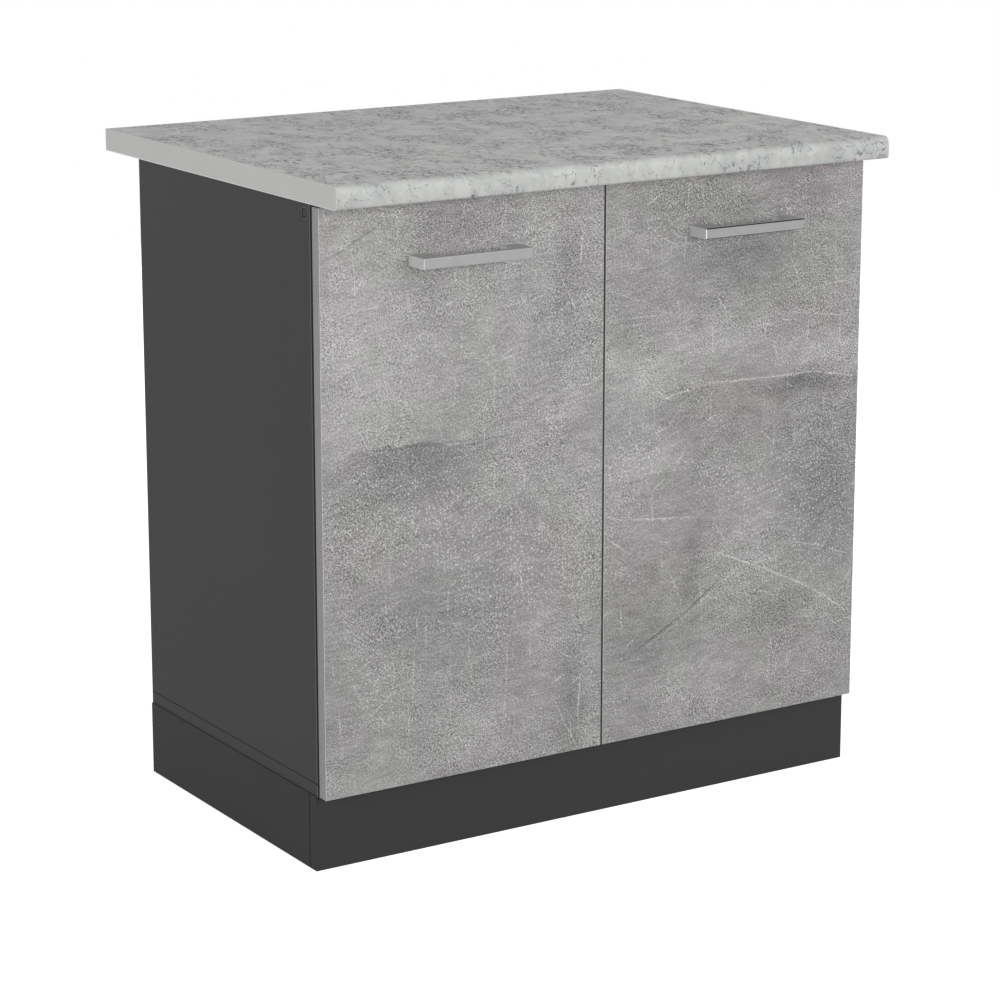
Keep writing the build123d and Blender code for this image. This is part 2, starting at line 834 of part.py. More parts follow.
# Hinge arms, which reach from the side panel into the cups
def arm_screw_planes(height):
    """Seats of the heads of an arm's adjusting screw and fixing screw."""
    planes = []
    for distance in (adjusting_screw_at, fixing_screw_at):
        x, y = hinge_point(web_across + arm_thickness, -distance)
        planes.append(facing(x, y, height, LEFT))
    return planes


def plan_slab(points, low, high, bends=()):
    """Upright slab with a straight-sided outline in plan, and rounded bends at some of its corners."""
    with BuildSketch(Plane.XY.offset(low)) as outline:
        with BuildLine():
            Polyline(*[hinge_point(*point) for point in points], close=True)
        make_face()
        for bend in bends:
            fillet(outline.vertices().sort_by_distance(hinge_point(*bend))[0], radius=arm_bend)
    extrude(outline.sketch, amount=high - low)


tongue_out = pin_out + arm_thickness / 2
slope_shift = arm_thickness * tan(pi / 8)
arm_profile = [
    (arm_across, tongue_out),
    (arm_across, -arm_drop),
    (web_across, -arm_drop - arm_step),
    (web_across, -arm_length),
    (web_across + arm_thickness, -arm_length),
    (web_across + arm_thickness, -arm_drop - arm_step + slope_shift),
    (arm_across + arm_thickness, -arm_drop + slope_shift),
    (arm_across + arm_thickness, tongue_out),
]
arm_bends = [arm_profile[i] for i in (1, 2, 5, 6, 7)]

with BuildPart() as hinge_arms:
    for height in hinge_heights:
        plan_slab(arm_profile, height - arm_half_width, height + arm_half_width, arm_bends)
        tongue = [
            (pin_across, tongue_out),
            (pin_across, tongue_out - arm_thickness),
            (arm_across + arm_thickness / 2, tongue_out - arm_thickness),
            (arm_across + arm_thickness / 2, tongue_out),
        ]
        plan_slab(tongue, height - eye_half_width, height + eye_half_width)
        pin_stack(height, -eye_half_width, eye_half_width, eye_radius)
        pin_stack(height, -eye_half_width, eye_half_width, pin_radius + fit, mode=Mode.SUBTRACT)
        channel_foot = board + plate_thickness + channel_gap
        for low in (-arm_half_width, arm_half_width - channel_wall):
            channel_side = [
                (channel_foot, -arm_drop - arm_step),
                (channel_foot, -arm_length),
                (web_across + arm_thickness / 2, -arm_length),
                (web_across + arm_thickness / 2, -arm_drop - arm_step),
            ]
            plan_slab(channel_side, height + low, height + low + channel_wall)
        for plane in arm_screw_planes(height):
            drill(plane, arm_screw_radius + fit, arm_thickness)
finish_pair(hinge_arms, "hinge_arms")

with BuildPart() as hinge_arm_screws:
    for height in hinge_heights:
        for plane in arm_screw_planes(height):
            screw(
                plane,
                arm_screw_radius,
                arm_thickness + arm_screw_bite,
                arm_screw_head_radius,
                arm_screw_head,
            )
finish_pair(hinge_arm_screws, "hinge_arm_screws")


# Hinge plates, screwed to the side panel's system holes
def plate_screw_planes(height):
    """Seats of the heads of a plate's two screws."""
    x, y = hinge_point(board + plate_thickness, -system_front_row)
    half = system_pitch / 2
    return [facing(x, y, height + offset, LEFT) for offset in (-half, half)]


with BuildPart() as hinge_plates:
    bar_half = arm_half_width - channel_wall - plate_play
    wing_half = system_pitch / 2 + plate_wing_end
    for height in hinge_heights:
        bar = [
            (board, -plate_start),
            (board, -plate_start - plate_length),
            (web_across, -plate_start - plate_length),
            (web_across, -plate_start),
        ]
        plan_slab(bar, height - bar_half, height + bar_half)
        wing = [
            (board, -system_front_row + plate_wing_height / 2),
            (board, -system_front_row - plate_wing_height / 2),
            (board + plate_thickness, -system_front_row - plate_wing_height / 2),
            (board + plate_thickness, -system_front_row + plate_wing_height / 2),
        ]
        plan_slab(wing, height - wing_half, height + wing_half)
        for plane in plate_screw_planes(height):
            drill(plane, system_hole_radius, plate_thickness)
        for plane in arm_screw_planes(height):
            drill(plane, arm_screw_radius + fit, arm_thickness + arm_screw_bite + end_play)
finish_pair(hinge_plates, "hinge_plates")

with BuildPart() as plate_screws:
    for height in hinge_heights:
        for plane in plate_screw_planes(height):
            screw(
                plane,
                system_hole_radius - fit,
                plate_thickness + system_hole_depth - end_play,
                system_screw_head_radius,
                system_screw_head,
            )
finish_pair(plate_screws, "hinge_plate_screws")
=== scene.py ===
"""Looks of the two-door base cabinet: its finishes, the studio and the viewpoint.

Metres. +X is to the right seen from the front, +Y to the back, +Z up. The origin is on the floor,
under the middle of the worktop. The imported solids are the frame. Each of them is dressed here, except
the two cover caps, which are turned anew in the same place.
"""

import json
import logging
import math
from dataclasses import dataclass, field
from enum import Enum

import bpy
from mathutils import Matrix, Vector

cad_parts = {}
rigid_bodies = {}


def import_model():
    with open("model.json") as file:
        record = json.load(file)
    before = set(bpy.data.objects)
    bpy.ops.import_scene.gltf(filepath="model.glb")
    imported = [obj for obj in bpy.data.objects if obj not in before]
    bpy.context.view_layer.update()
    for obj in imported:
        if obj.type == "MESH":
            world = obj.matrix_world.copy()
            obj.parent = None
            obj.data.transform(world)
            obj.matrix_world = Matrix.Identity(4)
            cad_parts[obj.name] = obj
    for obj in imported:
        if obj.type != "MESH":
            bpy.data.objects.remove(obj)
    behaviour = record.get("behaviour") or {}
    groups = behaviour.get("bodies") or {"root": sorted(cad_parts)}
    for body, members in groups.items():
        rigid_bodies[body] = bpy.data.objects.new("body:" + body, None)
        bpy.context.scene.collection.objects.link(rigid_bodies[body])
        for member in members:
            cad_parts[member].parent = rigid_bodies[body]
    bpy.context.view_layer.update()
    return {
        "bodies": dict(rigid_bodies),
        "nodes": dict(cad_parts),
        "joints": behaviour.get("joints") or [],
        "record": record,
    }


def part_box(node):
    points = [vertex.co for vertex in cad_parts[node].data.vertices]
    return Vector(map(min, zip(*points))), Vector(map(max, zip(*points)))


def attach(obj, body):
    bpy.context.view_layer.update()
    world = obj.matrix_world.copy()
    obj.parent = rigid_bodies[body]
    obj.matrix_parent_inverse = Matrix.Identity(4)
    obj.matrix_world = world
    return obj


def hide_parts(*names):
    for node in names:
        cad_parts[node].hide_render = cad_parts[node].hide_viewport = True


log = logging.getLogger("cabinet")

Colour = tuple[float, float, float]
Point = tuple[float, float, float]
# The low and the high end of what is mapped, and then what they give where it isn't 0 and 1.
Span = tuple[float, ...]
# What the low and the high end of a noise or a mask give.
Ends = tuple[float, float]
# One number for the worktop's nose, which is seen straight on, and one for its flat top.
NoseTop = tuple[float, float]
Socket = bpy.types.NodeSocket
Value = Socket | float

NOUGHT: Point = (0.0, 0.0, 0.0)
WHITE: Colour = (1.0, 1.0, 1.0)

# How a screen's channels follow from linear light: straight in the darkest part, then a curve.
SCREEN_WHITE = 255
STRAIGHT_BELOW = 0.04045
STRAIGHT_SLOPE = 12.92
CURVE_OFFSET = 0.055
CURVE_POWER = 2.4


def shade(level: float, red: float = 0.0, blue: float = 0.0) -> Colour:
    """Gives a grey as it is seen, with a little red or blue added, as a linear colour.

    Args:
        level: Grey from 0 to 255, as a screen shows it.
        red: What is added to red and half of it taken from blue, on the same scale.
        blue: What is added to blue, on the same scale.

    Returns:
        The linear red, green and blue.
    """
    seen = (level + red, level, level + blue - red / 2)
    return tuple(linear(channel / SCREEN_WHITE) for channel in seen)


def linear(channel: float) -> float:
    """Turns one channel as a screen shows it, from 0 to 1, into linear light.

    Args:
        channel: The channel as it is seen.

    Returns:
        The linear channel.
    """
    if channel <= STRAIGHT_BELOW:
        return channel / STRAIGHT_SLOPE
    return ((channel + CURVE_OFFSET) / (1.0 + CURVE_OFFSET)) ** CURVE_POWER


def dimmed(colour: Colour, factor: float) -> Colour:
    """Gives a colour made darker or lighter by a factor."""
    return tuple(factor * channel for channel in colour)


class Across(Enum):
    """The direction that a grain or a brushing runs in."""

    X = 0
    Y = 1
    Z = 2

    def stretch(self, along: float, across: float) -> Point:
        """Gives a scale for coordinates that draws a pattern out along this direction."""
        return tuple(along if axis == self.value else across for axis in range(3))


class Side(Enum):
    """The left or the right of the cabinet, seen from the front."""

    LEFT = "left"
    RIGHT = "right"

    def sign(self) -> float:
        """Gives -1 on the left and 1 on the right."""
        return -1.0 if self is Side.LEFT else 1.0

    def of(self, name: str) -> str:
        """Names the piece of this side."""
        return f"{name}_{self.value}"


def pair(name: str) -> tuple[str, ...]:
    """Gives the names of a left and a right piece."""
    return tuple(side.of(name) for side in Side)


@dataclass(frozen=True)
class Layer:
    """One noise of a finish.

    scale is in features per metre. detail is the number of finer layers, and roughness their strength.
    reach is how strongly the noise shows, distortion how far it swirls. A flat one lies in the first two
    coordinates only.
    """

    scale: float
    detail: float = 2.0
    roughness: float = 0.5
    reach: float = 1.0
    distortion: float = 0.0
    flat: bool = False


@dataclass(frozen=True)
class FlatLayer(Layer):
    """One noise of a flat print."""

    flat: bool = True


class Sheet:
    """A node tree that is filled from left to right."""

    COLUMN = 200.0
    ROW = 260.0
    ROWS = 6
    VALUE_INPUTS = (0, 2, 3)
    COLOUR_INPUTS = (0, 6, 7)
    COLOUR_RESULT = 2
    NOISE_RANGE = (0.3, 0.7)

    def __init__(self, tree: bpy.types.NodeTree) -> None:
        """Starts on a tree, which may already hold nodes."""
        self.tree = tree

    def node(self, kind: str, **options: object) -> bpy.types.Node:
        """Adds a node.

        Args:
            kind: Blender's name of the node type.
            options: The node's own settings by name.

        Returns:
            The new node.
        """
        count = len(self.tree.nodes)
        made = self.tree.nodes.new(kind)
        made.location = (count // self.ROWS * self.COLUMN, -(count % self.ROWS) * self.ROW)
        for name, value in options.items():
            setattr(made, name, value)
        return made

    def feed(self, socket: Socket, value: object) -> None:
        """Links another socket into this one, or sets it to a plain value.

        Args:
            socket: The input.
            value: A socket, a number, a vector or a colour.
        """
        if isinstance(value, Socket):
            self.tree.links.new(value, socket)
        elif socket.type == "RGBA":
            socket.default_value = (*value, 1.0)
        else:
            socket.default_value = value

    def fill(self, node: bpy.types.Node, **inputs: object) -> None:
        """Feeds a node's inputs by name, with _ for a space."""
        for name, value in inputs.items():
            self.feed(node.inputs[name.replace("_", " ")], value)

    def line_up(self, node: bpy.types.Node, values: tuple[object, ...]) -> None:
        """Feeds a node's first inputs in order."""
        for socket, value in zip(node.inputs, values):
            self.feed(socket, value)

    def sum(self, operation: str, *values: Value, clamp: bool = False) -> Socket:
        """Adds a Math node.

        Args:
            operation: The node's operation, such as ADD.
            values: One to three sockets or numbers.
            clamp: Whether the result is kept from 0 to 1.

        Returns:
            The result's socket.
        """
        made = self.node("ShaderNodeMath", operation=operation, use_clamp=clamp)
        self.line_up(made, values)
        return made.outputs[0]

    def vector(self, operation: str, *values: object, out: str = "Vector") -> Socket:
        """Adds a Vector Math node.

        Args:
            operation: The node's operation, such as SUBTRACT.
            values: One to three sockets or vectors.
            out: The name of the result wanted, Vector or Value.

        Returns:
            The result's socket.
        """
        made = self.node("ShaderNodeVectorMath", operation=operation)
        self.line_up(made, values)
        return made.outputs[out]

    def noise(self, vector: object, layer: Layer, out: str = "Fac") -> Socket:
        """Adds a Noise Texture.

        Args:
            vector: The coordinates that it reads.
            layer: Its scale, its finer layers and whether it is flat.
            out: The result wanted, Fac or Color.

        Returns:
            The result's socket. A value runs from 0 to 1 and is mostly near 0.5.
        """
        made = self.node("ShaderNodeTexNoise", noise_dimensions="2D" if layer.flat else "3D")
        self.fill(made, Vector=vector, Scale=layer.scale, Detail=layer.detail)
        self.fill(made, Roughness=layer.roughness, Distortion=layer.distortion)
        return made.outputs[out]

    def cells(self, vector: object, scale: Value, feature: str = "F1") -> bpy.types.Node:
        """Adds a flat Voronoi Texture, whose results are its outputs.

        Args:
            vector: The coordinates that it reads.
            scale: Cells per metre.
            feature: What it measures, such as F1 or DISTANCE_TO_EDGE.

        Returns:
            The node.
        """
        made = self.node("ShaderNodeTexVoronoi", feature=feature, voronoi_dimensions="2D")
        self.fill(made, Vector=vector, Scale=scale)
        return made

    def swing(self, value: Value, reach: float, base: Value = 0.0) -> Socket:
        """Scales what a noise departs from its middle by, and adds it to a base."""
        return self.sum("MULTIPLY_ADD", self.sum("SUBTRACT", value, 0.5), reach, base)

    def ridge(self, value: Value) -> Socket:
        """Gives how far a noise is from its middle, which is nought along winding lines."""
        return self.sum("ABSOLUTE", self.sum("SUBTRACT", value, 0.5))

    def product(self, *values: Value) -> Socket:
        """Multiplies two values or more.

        Args:
            values: Sockets or numbers.

        Returns:
            The product's socket.
        """
        total = values[0]
        for value in values[1:]:
            total = self.sum("MULTIPLY", total, value)
        return total

    def span(self, value: Value, low: Value, high: Value, start: Value = 0.0, end: Value = 1.0) -> Socket:
        """Adds a smooth Map Range node.

        Args:
            value: What is mapped.
            low: The value that gives start.
            high: The value that gives end.
            start: The result at low and below it.
            end: The result at high and above it.

        Returns:
            The result's socket.
        """
        made = self.node("ShaderNodeMapRange", interpolation_type="SMOOTHSTEP")
        self.line_up(made, (value, low, high, start, end))
        return made.outputs[0]

    def spread(self, noise: Value, start: Value = 0.0, end: Value = 1.0) -> Socket:
        """Maps the range that a noise mostly keeps to."""
        return self.span(noise, *self.NOISE_RANGE, start, end)

    def near(self, distance: Value) -> Socket:
        """Gives 1 where a distance is nought, falling smoothly to 0 where it is 1."""
        return self.span(distance, 0.0, 1.0, 1.0, 0.0)

    def mix(self, factor: Value, first: object, second: object, way: str = "MIX") -> Socket:
        """Mixes two colours.

        Args:
            factor: How much of the second shows.
            first: A colour or a socket.
            second: A colour or a socket.
            way: How they mix, by Blender's name of the blend type.

        Returns:
            The colour's socket.
        """
        made = self.node("ShaderNodeMix", data_type="RGBA", blend_type=way)
        for place, value in zip(self.COLOUR_INPUTS, (factor, first, second)):
            self.feed(made.inputs[place], value)
        return made.outputs[self.COLOUR_RESULT]

    def times(self, first: object, second: object) -> Socket:
        """Multiplies one colour by another."""
        return self.mix(1.0, first, second, way="MULTIPLY")

    def blend(self, factor: Value, first: Value, second: Value) -> Socket:
        """Mixes two values.

        Args:
            factor: How much of the second shows.
            first: A number or a socket.
            second: A number or a socket.

        Returns:
            The value's socket.
        """
        made = self.node("ShaderNodeMix", data_type="FLOAT")
        for place, value in zip(self.VALUE_INPUTS, (factor, first, second)):
            self.feed(made.inputs[place], value)
        return made.outputs[0]

    def turned(self, plane: Socket, angle: Value, stretch: float = 1.0) -> Socket:
        """Turns flat coordinates and draws a pattern out along their first axis.

        Args:
            plane: The flat coordinates.
            angle: The turn in radians.
            stretch: What the first coordinate is multiplied by. Below 1 it draws a pattern out.

        Returns:
            The turned coordinates.
        """
        made = self.node("ShaderNodeVectorRotate", rotation_type="Z_AXIS")
        self.fill(made, Vector=plane, Angle=angle)
        if stretch == 1.0:
            return made.outputs[0]
        return self.vector("MULTIPLY", made.outputs[0], (stretch, 1.0, 1.0))

    def bent(self, plane: Socket, drift: Socket, reach: float) -> Socket:
        """Moves coordinates about by a noise.

        Args:
            plane: The coordinates.
            drift: The colour of a noise, whose channels are mostly near 0.5.
            reach: What a channel's whole range moves them by, in metres.

        Returns:
            The moved coordinates.
        """
        away = self.vector("SUBTRACT", drift, (0.5, 0.5, 0.5))
        return self.vector("ADD", plane, self.vector("MULTIPLY", away, (reach, reach, reach)))

    def ramp(self, value: Value, stops: list[tuple[float, Colour]]) -> Socket:
        """Adds a Color Ramp.

        Args:
            value: What picks the colour.
            stops: Places from 0 to 1 with their colours, from low to high.

        Returns:
            The colour's socket.
        """
        made = self.node("ShaderNodeValToRGB")
        self.feed(made.inputs[0], value)
        band = made.color_ramp.elements
        while len(band) < len(stops):
            band.new(0.5)
        for element, (place, colour) in zip(band, stops):
            element.position = place
            element.color = (*colour, 1.0)
        return made.outputs[0]

    def group(self, effect: bpy.types.NodeTree, **inputs: object) -> dict[str, Socket]:
        """Places a shared effect.

        Args:
            effect: The shared node group.
            inputs: Sockets or values by input name, with _ for a space.

        Returns:
            The group's results by name.
        """
        made = self.node("ShaderNodeGroup", node_tree=effect)
        self.fill(made, **inputs)
        return {socket.name: socket for socket in made.outputs}

    def bump(self, height: Value, depth: float) -> Socket:
        """Adds a Bump node.

        Args:
            height: The height that changes over the surface.
            depth: What a height of 1 stands for, in metres.

        Returns:
            The normal's socket.
        """
        made = self.node("ShaderNodeBump")
        self.fill(made, Strength=1.0, Distance=depth, Height=height)
        return made.outputs[0]

    def place(self) -> Socket:
        """Gives the Object coordinates."""
        return self.node("ShaderNodeTexCoord").outputs["Object"]

    def axes(self, vector: object) -> tuple[Socket, ...]:
        """Splits a vector into its three parts.

        Args:
            vector: The vector.

        Returns:
            The sockets of its X, Y and Z.
        """
        made = self.node("ShaderNodeSeparateXYZ")
        self.feed(made.inputs[0], vector)
        return tuple(made.outputs)


class Effects:
    """The effects that several finishes share, each a node group that is built once."""

    LINES = Layer(5.0, 3.0, 0.7)
    CLOUD = Layer(60.0)
    FLAKE_STRETCH = (1.0, 1.0, 2.2)
    FLAKE_GAP = (0.35, 0.75)
    DOT_EDGE = (0.2, 1.0, 1.0, 0.0)
    LINE_EDGE = (0.3, 1.0, 1.0, 0.0)

    def __init__(self) -> None:
        """Builds every group."""
        self.unroll = self._unroll()
        self.stroke = self._stroke()
        self.scratches = self._scratches()
        self.dots = self._dots()
        self.brushing = self._brushing()
        self.chips = self._chips()
        self.line = self._line()

    @staticmethod
    def _start(
        name: str, inputs: dict[str, object], outputs: dict[str, str]
    ) -> tuple[Sheet, dict[str, Socket], bpy.types.Node]:
        """Starts a group.

        Args:
            name: The group's name.
            inputs: Each input with its default, a number or a vector.
            outputs: Each result with its kind, Float or Vector.

        Returns:
            The sheet to fill, the inputs by name, and the node that takes the results.
        """
        tree = bpy.data.node_groups.new(name, "ShaderNodeTree")
        for socket, default in inputs.items():
            kind = "NodeSocketFloat" if isinstance(default, float) else "NodeSocketVector"
            made = tree.interface.new_socket(socket, in_out="INPUT", socket_type=kind)
            made.default_value = default
        for socket, kind in outputs.items():
            tree.interface.new_socket(socket, in_out="OUTPUT", socket_type=f"NodeSocket{kind}")
        sheet = Sheet(tree)
        entry = sheet.node("NodeGroupInput")
        leave = sheet.node("NodeGroupOutput")
        return sheet, {socket.name: socket for socket in entry.outputs}, leave

    def _unroll(self) -> bpy.types.NodeTree:
        """Builds flat coordinates of a print that runs over a face and round its edges.

        Returns:
            The node group.
        """
        axes = {"Across": (1.0, 0.0, 0.0), "Up": (0.0, 0.0, 1.0)}
        sheet, given, leave = self._start(
            "Unroll", {"Vector": NOUGHT, **axes, "Start": NOUGHT}, {"Plane": "Vector"}
        )
        here = sheet.vector("SUBTRACT", given["Vector"], given["Start"])
        made = sheet.node("ShaderNodeCombineXYZ")
        for socket, name in zip(made.inputs, axes):
            sheet.feed(socket, sheet.vector("DOT_PRODUCT", here, given[name], out="Value"))
        sheet.fill(leave, Plane=made.outputs[0])
        return sheet.tree

    def _stroke(self) -> bpy.types.NodeTree:
        """Builds one scratch, crack or soft patch of a flat print, strongest in its middle.

        Returns:
            The node group.
        """
        names = ("Plane", "Centre", "Turn", "Reach")
        inputs = dict.fromkeys(names, NOUGHT) | {"Reach": (0.05, 0.05, 1.0)}
        sheet, given, leave = self._start("Stroke", inputs, {"Mask": "Float"})
        moved = sheet.node("ShaderNodeMapping", vector_type="TEXTURE")
        sheet.line_up(moved, tuple(given[name] for name in names))
        sheet.fill(leave, Mask=self._fade(sheet, moved.outputs[0]))
        return sheet.tree

    @staticmethod
    def _fade(sheet: Sheet, plane: Socket) -> Socket:
        """Gives 1 at the middle of some coordinates, falling to 0 at a distance of 1.

        Args:
            sheet: The sheet to fill.
            plane: The coordinates.

        Returns:
            The value's socket.
        """
        made = sheet.node("ShaderNodeTexGradient", gradient_type="SPHERICAL")
        sheet.feed(made.inputs[0], plane)
        return made.outputs["Fac"]

    def _scratches(self) -> bpy.types.NodeTree:
        """Builds short straight scratches strewn over a flat print, each with its own lean.

        Returns:
            The node group.
        """
        size = {"Reach": (0.016, 0.0012, 1.0)}
        inputs = {"Plane": NOUGHT, "Scale": 22.0, "Lean": 0.0, "Spread": 3.1, **size}
        sheet, given, leave = self._start("Scratches", inputs, {"Mask": "Float"})
        cell = sheet.cells(given["Plane"], given["Scale"])
        away = sheet.vector("SUBTRACT", given["Plane"], cell.outputs["Position"])
        dice = sheet.axes(cell.outputs["Color"])
        turned = sheet.turned(away, sheet.swing(dice[0], given["Spread"], given["Lean"]))
        fade = self._fade(sheet, sheet.vector("DIVIDE", turned, given["Reach"]))
        sheet.fill(leave, Mask=sheet.product(fade, dice[1]))
        return sheet.tree

    def _dots(self) -> bpy.types.NodeTree:
        """Builds pin-point specks of uneven strength on a flat print.

        Returns:
            The node group.
        """
        inputs = {"Plane": NOUGHT, "Scale": 150.0, "Size": 0.25}
        sheet, given, leave = self._start("Dots", inputs, {"Mask": "Float"})
        cell = sheet.cells(given["Plane"], given["Scale"])
        share = sheet.sum("DIVIDE", cell.outputs["Distance"], given["Size"])
        dice = sheet.axes(cell.outputs["Color"])
        sheet.fill(leave, Mask=sheet.product(sheet.span(share, *self.DOT_EDGE), dice[0]))
        return sheet.tree

    def _brushing(self) -> bpy.types.NodeTree:
        """Builds fine parallel lines, as in brushed or drawn metal.

        Returns:
            The node group.
        """
        inputs = {"Vector": NOUGHT, "Stretch": (4.0, 400.0, 400.0)}
        sheet, given, leave = self._start("Brushing", inputs, {"Lines": "Float", "Cloud": "Float"})
        drawn = sheet.vector("MULTIPLY", given["Vector"], given["Stretch"])
        cloud = sheet.noise(given["Vector"], self.CLOUD)
        sheet.fill(leave, Lines=sheet.noise(drawn, self.LINES), Cloud=cloud)
        return sheet.tree

    def _chips(self) -> bpy.types.NodeTree:
        """Builds pressed wood chips, as on the raw edge of a board.

        Returns:
            The node group.
        """
        inputs = {"Vector": NOUGHT, "Scale": 260.0}
        sheet, given, leave = self._start("Chips", inputs, {"Tone": "Float", "Gap": "Float"})
        flake = sheet.node("ShaderNodeTexVoronoi")
        flat = sheet.vector("MULTIPLY", given["Vector"], self.FLAKE_STRETCH)
        sheet.fill(flake, Vector=flat, Scale=given["Scale"])
        gap = sheet.span(flake.outputs["Distance"], *self.FLAKE_GAP)
        sheet.fill(leave, Tone=sheet.axes(flake.outputs["Color"])[0], Gap=gap)
        return sheet.tree

    def _line(self) -> bpy.types.NodeTree:
        """Builds a thin line where a distance is nought, such as a joint between two boards.

        Returns:
            The node group.
        """
        inputs = {"Distance": 0.0, "Width": 0.0005}
        sheet, given, leave = self._start("Line", inputs, {"Mask": "Float"})
        share = sheet.sum("DIVIDE", sheet.sum("ABSOLUTE", given["Distance"]), given["Width"])
        sheet.fill(leave, Mask=sheet.span(share, *self.LINE_EDGE))
        return sheet.tree


class Finish:
    """What every finish has in common: a material with one shader, on Object coordinates."""

    name: str

    def start(self) -> tuple[bpy.types.Material, Sheet, bpy.types.Node, Socket]:
        """Makes the material, its sheet, its shader and its coordinates.

        Returns:
            The material, the sheet, the Principled BSDF node and the Object coordinates.
        """
        material = bpy.data.materials.new(self.name)
        material.use_nodes = True
        sheet = Sheet(material.node_tree)
        shader = material.node_tree.nodes["Principled BSDF"]
        return material, sheet, shader, sheet.place()


@dataclass(frozen=True)
class Stroke:
    """A scratch or crack of a print: its points across and up in metres, lighter or darker."""

    points: tuple[tuple[float, float], ...]
    strength: float
    width: float = 0.0011
    overlap: float = 0.70

    def spots(self) -> list["Spot"]:
        """Gives one long thin spot for each of its runs, a little longer than the run.

        Returns:
            The spots, in order.
        """
        made = []
        for (x0, z0), (x1, z1) in zip(self.points, self.points[1:]):
            half = math.hypot(x1 - x0, z1 - z0) * self.overlap
            turn = math.atan2(z1 - z0, x1 - x0)
            made.append(Spot((x0 + x1) / 2, (z0 + z1) / 2, half, self.width, self.strength, turn))
        return made


@dataclass(frozen=True)
class Spot:
    """A lighter or darker oval of a print that fades towards its edge, or is cut off at a height.

    Its place and reach are in metres and its turn in radians. It shows below the height below, and above
    the height above.
    """

    across: float
    up: float
    reach_across: float
    reach_up: float
    strength: float
    turn: float = 0.0
    below: float | None = None
    above: float | None = None


@dataclass(frozen=True)
class Marks:
    """The marks that one door's print shows.

    The strokes and the patches are lighter or darker. The others say where the print is more specked,
    greener or more violet, and warmer or cooler.
    """

    strokes: tuple[Stroke, ...]
    patches: tuple[Spot, ...]
    specked: tuple[Spot, ...]
    tinged: tuple[Spot, ...]
    warmed: tuple[Spot, ...]


LEFT_MARKS = Marks(
    strokes=(
        Stroke(((-0.392, 0.748), (-0.315, 0.788)), -0.28),
        Stroke(((-0.033, 0.755), (-0.036, 0.715)), 0.45, 0.0018),
        Stroke(((-0.143, 0.803), (-0.144, 0.767)), 0.26),
        Stroke(((-0.075, 0.727), (-0.056, 0.684), (-0.033, 0.642)), 0.26),
        Stroke(((-0.352, 0.738), (-0.352, 0.690)), 0.20),
        Stroke(((-0.198, 0.727), (-0.198, 0.686)), 0.26),
        Stroke(((-0.300, 0.517), (-0.153, 0.513)), -0.16, 0.0016),
        Stroke(((-0.090, 0.534), (-0.006, 0.553)), 0.22),
        Stroke(((-0.258, 0.305), (-0.258, 0.259)), 0.28),
        Stroke(((-0.274, 0.274), (-0.277, 0.201)), 0.28),
        Stroke(((-0.198, 0.279), (-0.196, 0.245)), 0.26),
        Stroke(((-0.201, 0.238), (-0.134, 0.248)), 0.22),
        Stroke(((-0.141, 0.249), (-0.143, 0.203)), 0.26),
        Stroke(((-0.197, 0.162), (-0.197, 0.107)), 0.24),
        Stroke(((-0.033, 0.189), (-0.037, 0.142)), 0.42, 0.0018),
        Stroke(((-0.075, 0.174), (-0.058, 0.137), (-0.040, 0.105)), 0.24),
        Stroke(((-0.302, 0.217), (-0.332, 0.194)), 0.24, 0.0022),
    ),
    patches=(
        Spot(-0.046, 0.725, 0.030, 0.110, -0.30),
        Spot(-0.046, 0.150, 0.030, 0.110, -0.28),
        Spot(-0.270, 0.500, 0.170, 0.080, -0.34, below=0.514),
        Spot(-0.330, 0.560, 0.120, 0.060, 0.10, above=0.514),
        Spot(-0.075, 0.495, 0.060, 0.050, -0.14, below=0.524),
        Spot(-0.030, 0.560, 0.060, 0.050, 0.12),
        Spot(-0.250, 0.710, 0.060, 0.045, -0.18),
        Spot(-0.200, 0.775, 0.090, 0.040, -0.16),
        Spot(-0.085, 0.615, 0.050, 0.080, -0.14),
        Spot(-0.340, 0.640, 0.110, 0.200, 0.22),
        Spot(-0.130, 0.470, 0.120, 0.060, 0.14),
        Spot(-0.170, 0.150, 0.090, 0.060, 0.16),
        Spot(-0.360, 0.110, 0.110, 0.070, 0.20),
        Spot(-0.235, 0.300, 0.120, 0.080, -0.18),
        Spot(-0.100, 0.255, 0.070, 0.060, 0.16),
    ),
    specked=(
        Spot(-0.260, 0.430, 0.170, 0.110, 1.3),
        Spot(-0.130, 0.350, 0.120, 0.100, 1.2),
        Spot(-0.330, 0.230, 0.070, 0.090, 0.8),
        Spot(-0.100, 0.740, 0.100, 0.060, 0.7),
        Spot(-0.020, 0.350, 0.040, 0.100, 0.9),
        Spot(-0.330, 0.780, 0.060, 0.040, 0.6),
    ),
    tinged=(
        Spot(-0.360, 0.770, 0.090, 0.070, 0.30),
        Spot(-0.283, 0.535, 0.060, 0.050, 0.28),
        Spot(-0.380, 0.470, 0.060, 0.060, 0.22),
        Spot(-0.210, 0.155, 0.060, 0.060, 0.26),
        Spot(-0.263, 0.705, 0.050, 0.040, -0.32),
        Spot(-0.178, 0.400, 0.110, 0.050, -0.26),
        Spot(-0.090, 0.235, 0.070, 0.060, -0.24),
        Spot(-0.250, 0.185, 0.090, 0.060, -0.24),
        Spot(-0.130, 0.560, 0.060, 0.050, -0.20),
    ),
    warmed=(
        Spot(-0.058, 0.340, 0.110, 0.080, 0.9),
        Spot(-0.360, 0.390, 0.080, 0.060, 0.6),
        Spot(-0.228, 0.295, 0.110, 0.080, -0.8),
        Spot(-0.250, 0.490, 0.110, 0.050, -0.6),
        Spot(-0.120, 0.725, 0.070, 0.060, -0.7),
        Spot(-0.080, 0.620, 0.060, 0.090, -0.7),
        Spot(-0.030, 0.210, 0.040, 0.110, -0.7),
    ),
)
